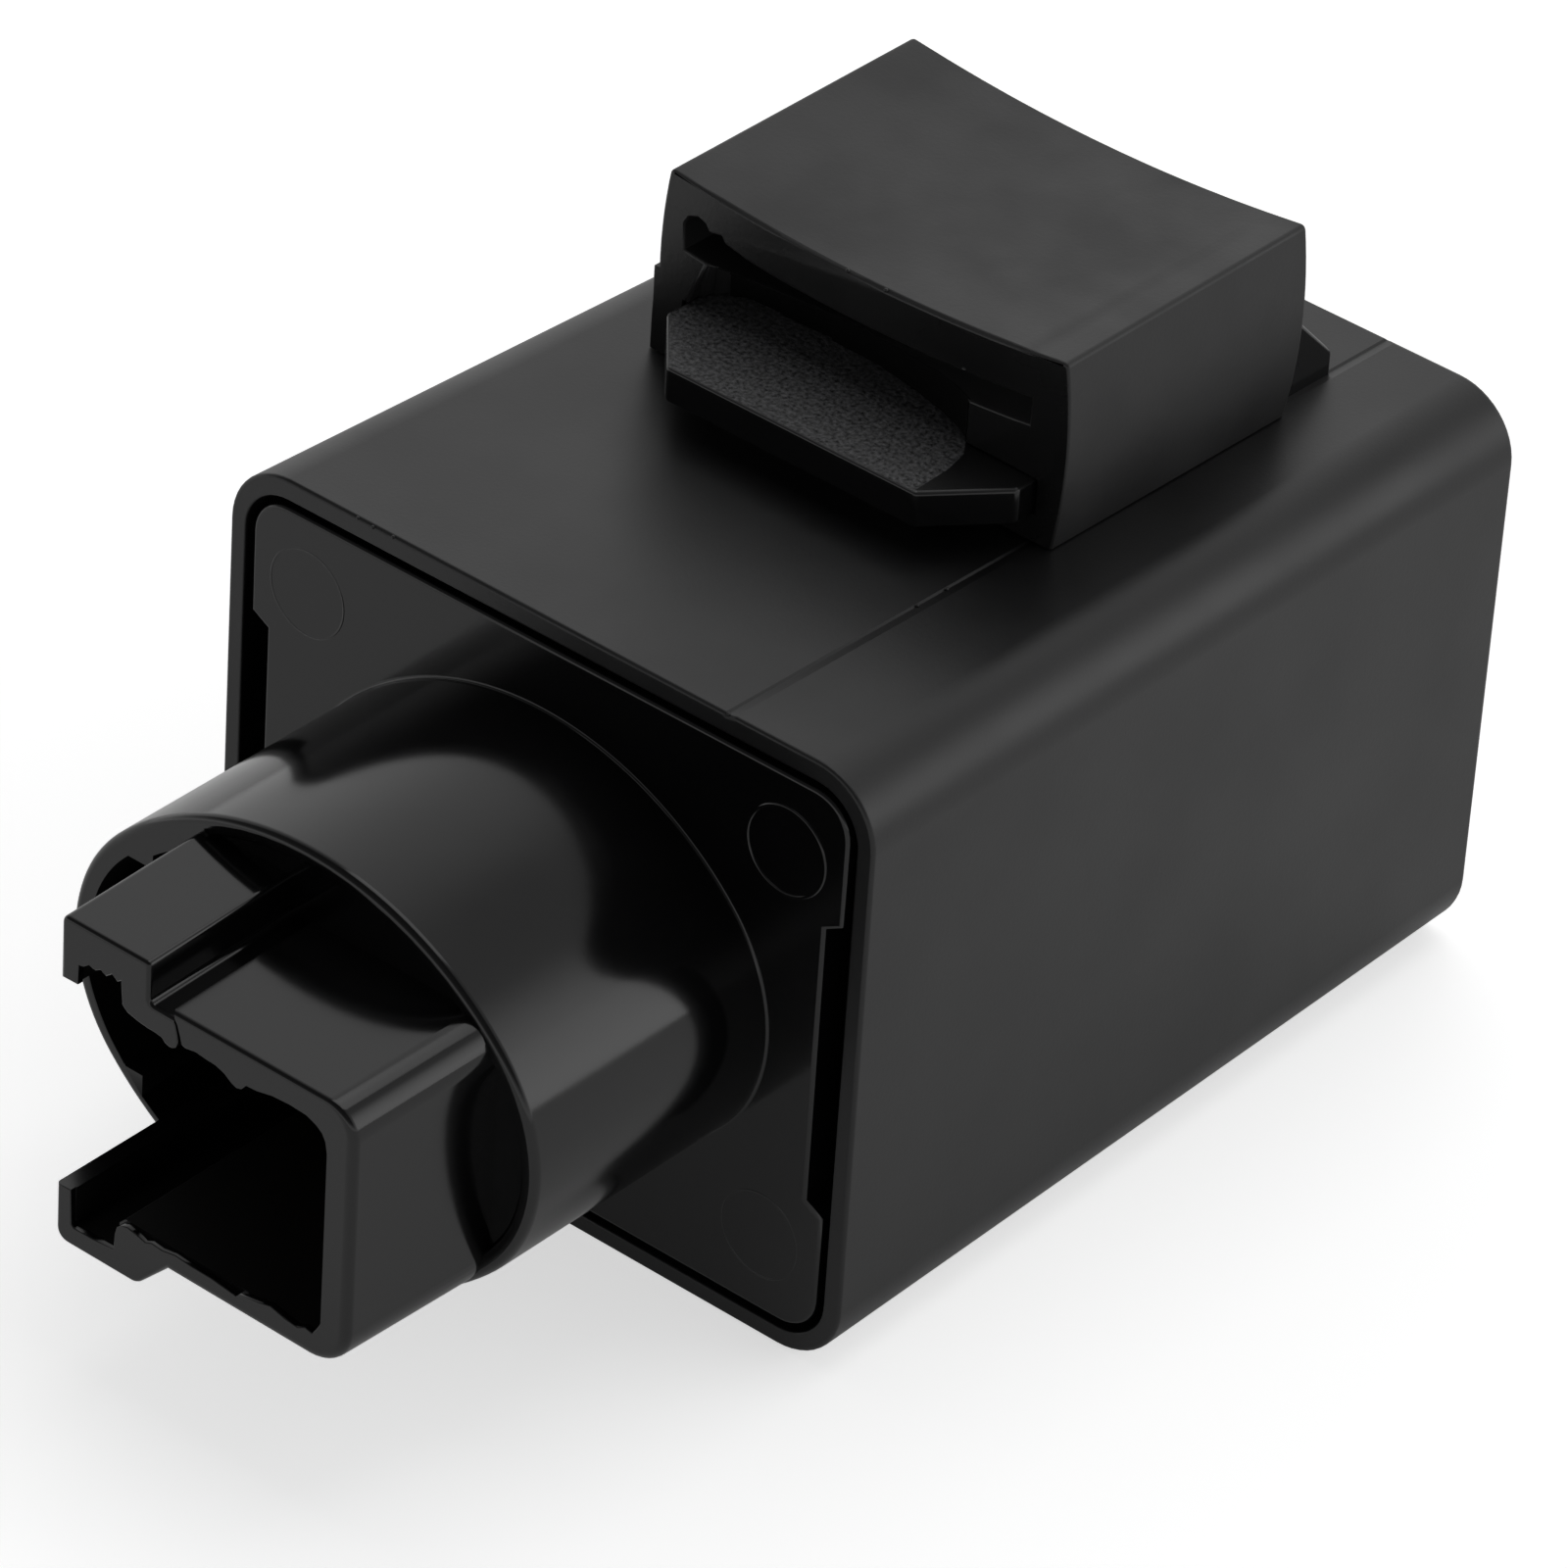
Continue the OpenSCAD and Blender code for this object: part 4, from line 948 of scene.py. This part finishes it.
class RELAY_OT_case(Operator):
    """Models the box case with its lug"""

    bl_idname = "relay.case"
    bl_label = "Case"

    def execute(self, context):
        case = context.scene.relay_case
        moulded("Case plastic", case.colour, 0.4, spread=0.04, bump=0.25)
        moulded("Lug sides", case.colour, 0.16, spread=0.03, bump=0.1)
        # Lug grain: its bump and pattern are its own, its light grey and bright specks are painted sheen and
        # glints
        moulded(
            "Lug grain sheen", case.grain_sheen_colour, 0.5, spread=0.1, bump=1.0, grain=5000, patches=5500,
            contrast=0.8, depth=0.045,
        )
        hand_over(model_case(case), "case")
        return {"FINISHED"}


class RELAY_OT_sleeve(Operator):
    """Models the rubber sleeve on the lug"""

    bl_idname = "relay.sleeve"
    bl_label = "Rubber sleeve"

    def execute(self, context):
        case, sleeve = context.scene.relay_case, context.scene.relay_sleeve
        # Painted shade: the front face gets half the rubber's colour, as well as a smoother finish
        shaded_face_colour = [channel / 2 for channel in sleeve.colour]
        moulded("Sleeve rubber", sleeve.colour, 0.5, spread=0.07, bump=0.35, grain=4500, patches=220)
        moulded("Sleeve face painted shade", shaded_face_colour, 0.28, bump=0.35, grain=4500)
        # Painted shade: near-black for the sleeve's inside, where shade falls
        moulded("Sleeve painted shade", SHADE_BLACK, 0.8, bump=0.3, specular=0.08)
        hand_over(model_sleeve(sleeve, case), "rubber_mount")
        return {"FINISHED"}


class RELAY_OT_socket(Operator):
    """Models the base plate, the oval turret and the keyed shroud"""

    bl_idname = "relay.socket"
    bl_label = "Base and socket"

    def execute(self, context):
        socket = context.scene.relay_socket
        moulded("Socket plastic", socket.colour, 0.13, spread=0.03, bump=0.06, grain=900)
        # Painted shade: near-black for the faces deep inside the mouth and the pockets
        moulded("Socket painted shade", SHADE_BLACK, 0.7, specular=0.12)
        hand_over(model_socket(socket), "base")
        return {"FINISHED"}


class RELAY_OT_metal(Operator):
    """Finishes the terminals, the strips, the rivets and the contacts, and copies the contact spring"""

    bl_idname = "relay.metal"
    bl_label = "Metal pieces"

    def execute(self, context):
        paint_nodes(
            metal("Brass", (0.72, 0.56, 0.3), 0.25),
            *BLADES, "fixed_contact_arm", "back_stop", "armature_rivets", "yoke_rivets",
        )
        paint_nodes(
            metal("Silver contact", (0.82, 0.81, 0.78), 0.28, spread=0.06), "moving_contact", "fixed_contact"
        )
        paint_nodes(
            metal("Tinned wire", (0.66, 0.66, 0.65), 0.32, spread=0.06),
            "coil_pins", "chip_leads", "capacitor_leads", "solder_joints",
        )
        paint(bend_leaf(), metal("Spring bronze", (0.7, 0.42, 0.2), 0.3))
        return {"FINISHED"}


class RELAY_OT_movement(Operator):
    """Finishes the yoke, the core, the armature, the bobbin, its winding and the current shunt"""

    bl_idname = "relay.movement"
    bl_label = "Relay movement"

    def execute(self, context):
        iron = metal("Plated iron", (0.5, 0.5, 0.48), 0.35, spread=0.08, bump=0.3)
        paint_nodes(iron, "yoke", "core", "armature")
        paint_nodes(moulded("Bobbin nylon", (0.75, 0.71, 0.6), 0.45), "bobbin")
        paint_nodes(metal("Copper winding", (0.6, 0.22, 0.1), 0.3, bump=0.4), "coil_winding")
        paint_nodes(metal("Copper wire", (0.75, 0.36, 0.2), 0.3), "current_shunt")
        return {"FINISHED"}


class RELAY_OT_electronics(Operator):
    """Finishes the circuit board and the parts that it carries"""

    bl_idname = "relay.electronics"
    bl_label = "Electronics"

    def execute(self, context):
        paint_nodes(moulded("Board lacquer", (0.03, 0.16, 0.06), 0.35), "circuit_board")
        paint_nodes(moulded("Chip epoxy", (0.02, 0.02, 0.022), 0.55, bump=0.4), "flasher_chip")
        paint_nodes(moulded("Capacitor sleeve", (0.02, 0.03, 0.07), 0.3, bump=0.1), "timing_capacitor")
        paint_nodes(moulded("Seal rubber", (0.02, 0.02, 0.02), 0.6, bump=0.3), "capacitor_seal")
        lacquer = moulded("Resistor lacquer", (0.55, 0.42, 0.22), 0.35)
        paint_nodes(lacquer, "timing_resistor", "sense_resistor")
        paint_nodes(moulded("Diode epoxy", (0.02, 0.02, 0.02), 0.4), "suppression_diode")
        return {"FINISHED"}


def floor_paper(shade, seen_glow=0.6, mirrored_glow=0.12):
    """A pale matt surface that shows white behind the relay and keeps its shadow."""
    material, add, link, shader = new_material("Floor paper")
    shader.inputs["Base Color"].default_value = (*shade, 1)
    shader.inputs["Roughness"].default_value = 0.9
    shader.inputs["Specular IOR Level"].default_value = 0.0
    out = next(node for node in material.node_tree.nodes if node.type == "OUTPUT_MATERIAL")
    path, light, both = add("ShaderNodeLightPath"), add("ShaderNodeEmission"), add("ShaderNodeAddShader")
    seen, mirrored, strength = add("ShaderNodeMath"), add("ShaderNodeMath"), add("ShaderNodeMath")
    mirrored.operation = "MAXIMUM"
    seen.operation = strength.operation = "MULTIPLY_ADD"
    seen.inputs[1].default_value = seen_glow
    seen.inputs[2].default_value = 0.0
    strength.inputs[1].default_value = mirrored_glow
    link(path.outputs["Is Camera Ray"], seen.inputs[0])
    link(path.outputs["Is Glossy Ray"], mirrored.inputs[0])
    link(path.outputs["Is Transmission Ray"], mirrored.inputs[1])
    link(mirrored.outputs[0], strength.inputs[0])
    link(seen.outputs[0], strength.inputs[2])
    link(strength.outputs[0], light.inputs["Strength"])
    link(shader.outputs[0], both.inputs[0])
    link(light.outputs[0], both.inputs[1])
    link(both.outputs[0], out.inputs["Surface"])
    return material


def lay_floor(stage):
    """A wide pale floor just under the relay."""
    deselect()
    bpy.ops.mesh.primitive_plane_add(size=6, location=(0, 0, -stage.floor_gap))
    floor = bpy.context.object
    floor.name = "Floor"
    paint(floor, floor_paper(stage.floor))


def hang_lamp():
    """A soft square lamp above the relay, turned towards it."""
    place = Vector((0, 0.15, 0.7))
    data = bpy.data.lights.new("Ceiling light", "AREA")
    data.shape = "SQUARE"
    data.size = 0.5
    data.energy = 0.8
    lamp = bpy.data.objects.new("Ceiling light", data)
    bpy.context.scene.collection.objects.link(lamp)
    lamp.location = place
    lamp.rotation_mode = "QUATERNION"
    lamp.rotation_quaternion = (-place).to_track_quat("-Z", "Y")


def direction(azimuth, elevation):
    """The unit vector from the relay in this direction, where azimuth 0 is the side of the socket."""
    across = cos(elevation)
    return Vector((sin(azimuth) * across, -cos(azimuth) * across, sin(elevation)))


def add_camera(stage):
    """The camera at the photograph's angle."""
    back = direction(stage.azimuth, stage.elevation)
    level = Vector((cos(stage.azimuth), sin(stage.azimuth), 0))
    upright = back.cross(level)
    right = level * cos(stage.roll) + upright * sin(stage.roll)
    up = upright * cos(stage.roll) - level * sin(stage.roll)
    data = bpy.data.cameras.new("Camera")
    data.lens = stage.lens
    data.sensor_width = 36.0
    data.clip_start, data.clip_end = 0.01, 20.0
    camera = bpy.data.objects.new("Camera", data)
    bpy.context.scene.collection.objects.link(camera)
    turn = Matrix((right, up, back)).transposed().to_4x4()
    camera.matrix_world = Matrix.Translation(Vector(stage.place)) @ turn
    bpy.context.scene.camera = camera


def light_world(level):
    """A pale surround, darker upwards and most of all on the socket's side, with two soft glows behind."""
    world = bpy.data.worlds.new("Surround")
    bpy.context.scene.world = world
    world.use_nodes = True
    tree = world.node_tree
    add, link = tree.nodes.new, tree.links.new
    place, parts = add("ShaderNodeTexCoord"), add("ShaderNodeSeparateXYZ")
    link(place.outputs["Generated"], parts.inputs["Vector"])

    def ramp(source, start, end, low, high):
        node = add("ShaderNodeMapRange")
        node.interpolation_type = "SMOOTHSTEP"
        for name, value in (("From Min", start), ("From Max", end), ("To Min", low), ("To Max", high)):
            node.inputs[name].default_value = value
        link(source, node.inputs["Value"])
        return node.outputs["Result"]

    def join(operation, first, second):
        node = add("ShaderNodeMath")
        node.operation = operation
        link(first, node.inputs[0])
        link(second, node.inputs[1])
        return node.outputs["Value"]

    def glow(azimuth, elevation, spread, strength):
        nearness = add("ShaderNodeVectorMath")
        nearness.operation = "DOT_PRODUCT"
        nearness.inputs[1].default_value = direction(radians(azimuth), radians(elevation))
        link(place.outputs["Generated"], nearness.inputs[0])
        return ramp(nearness.outputs["Value"], cos(radians(spread)), 1.0, 0.0, strength)

    height = ramp(parts.outputs["Z"], start=-0.2, end=1.2, low=level * 1.1, high=level * 0.3)
    low_part = ramp(parts.outputs["Z"], start=0.05, end=0.4, low=1.0, high=0.2)
    rear_part = ramp(parts.outputs["Y"], start=-0.3, end=0.1, low=0.0, high=1.0)
    surround = join("MULTIPLY", height, join("MAXIMUM", low_part, rear_part))
    right_glow = glow(azimuth=133, elevation=14, spread=30, strength=0.9)
    left_glow = glow(azimuth=-145, elevation=38, spread=35, strength=0.3)
    total = join("ADD", join("ADD", surround, right_glow), left_glow)
    sky = tree.nodes["Background"]
    sky.inputs["Color"].default_value = (1, 1, 1, 1)
    link(total, sky.inputs["Strength"])


class RELAY_OT_stage(Operator):
    """Lays the floor, hangs the lamp, lights the surround and sets the camera"""

    bl_idname = "relay.stage"
    bl_label = "Stage"

    def execute(self, context):
        stage = context.scene.relay_stage
        lay_floor(stage)
        hang_lamp()
        light_world(stage.surround)
        add_camera(stage)
        context.scene.view_settings.view_transform = "Standard"
        return {"FINISHED"}


class RELAY_PT_relay(Panel):
    """Lists the relay's pieces in the sidebar"""

    bl_idname = "RELAY_PT_relay"
    bl_label = "Relay"
    bl_space_type = "VIEW_3D"
    bl_region_type = "UI"
    bl_category = "Relay"

    def draw(self, context):
        for operator in OPERATORS:
            self.layout.operator(operator.bl_idname)


SETTINGS = {
    "relay_case": RelayCaseSettings,
    "relay_sleeve": RelaySleeveSettings,
    "relay_socket": RelaySocketSettings,
    "relay_stage": RelayStageSettings,
}
OPERATORS = (
    RELAY_OT_case, RELAY_OT_sleeve, RELAY_OT_socket, RELAY_OT_metal, RELAY_OT_movement,
    RELAY_OT_electronics, RELAY_OT_stage,
)


def register():
    """Makes the settings, the operators and the panel known."""
    for cls in (*SETTINGS.values(), *OPERATORS, RELAY_PT_relay):
        bpy.utils.register_class(cls)
    for name, cls in SETTINGS.items():
        setattr(bpy.types.Scene, name, PointerProperty(type=cls))


def unregister():
    """Takes them away again."""
    for name in SETTINGS:
        delattr(bpy.types.Scene, name)
    for cls in reversed((*SETTINGS.values(), *OPERATORS, RELAY_PT_relay)):
        bpy.utils.unregister_class(cls)


def main():
    """Builds the relay and its stage."""
    register()
    grain_group()
    for operator in ("case", "sleeve", "socket", "metal", "movement", "electronics", "stage"):
        getattr(bpy.ops.relay, operator)()


if __name__ == "__main__":
    main()
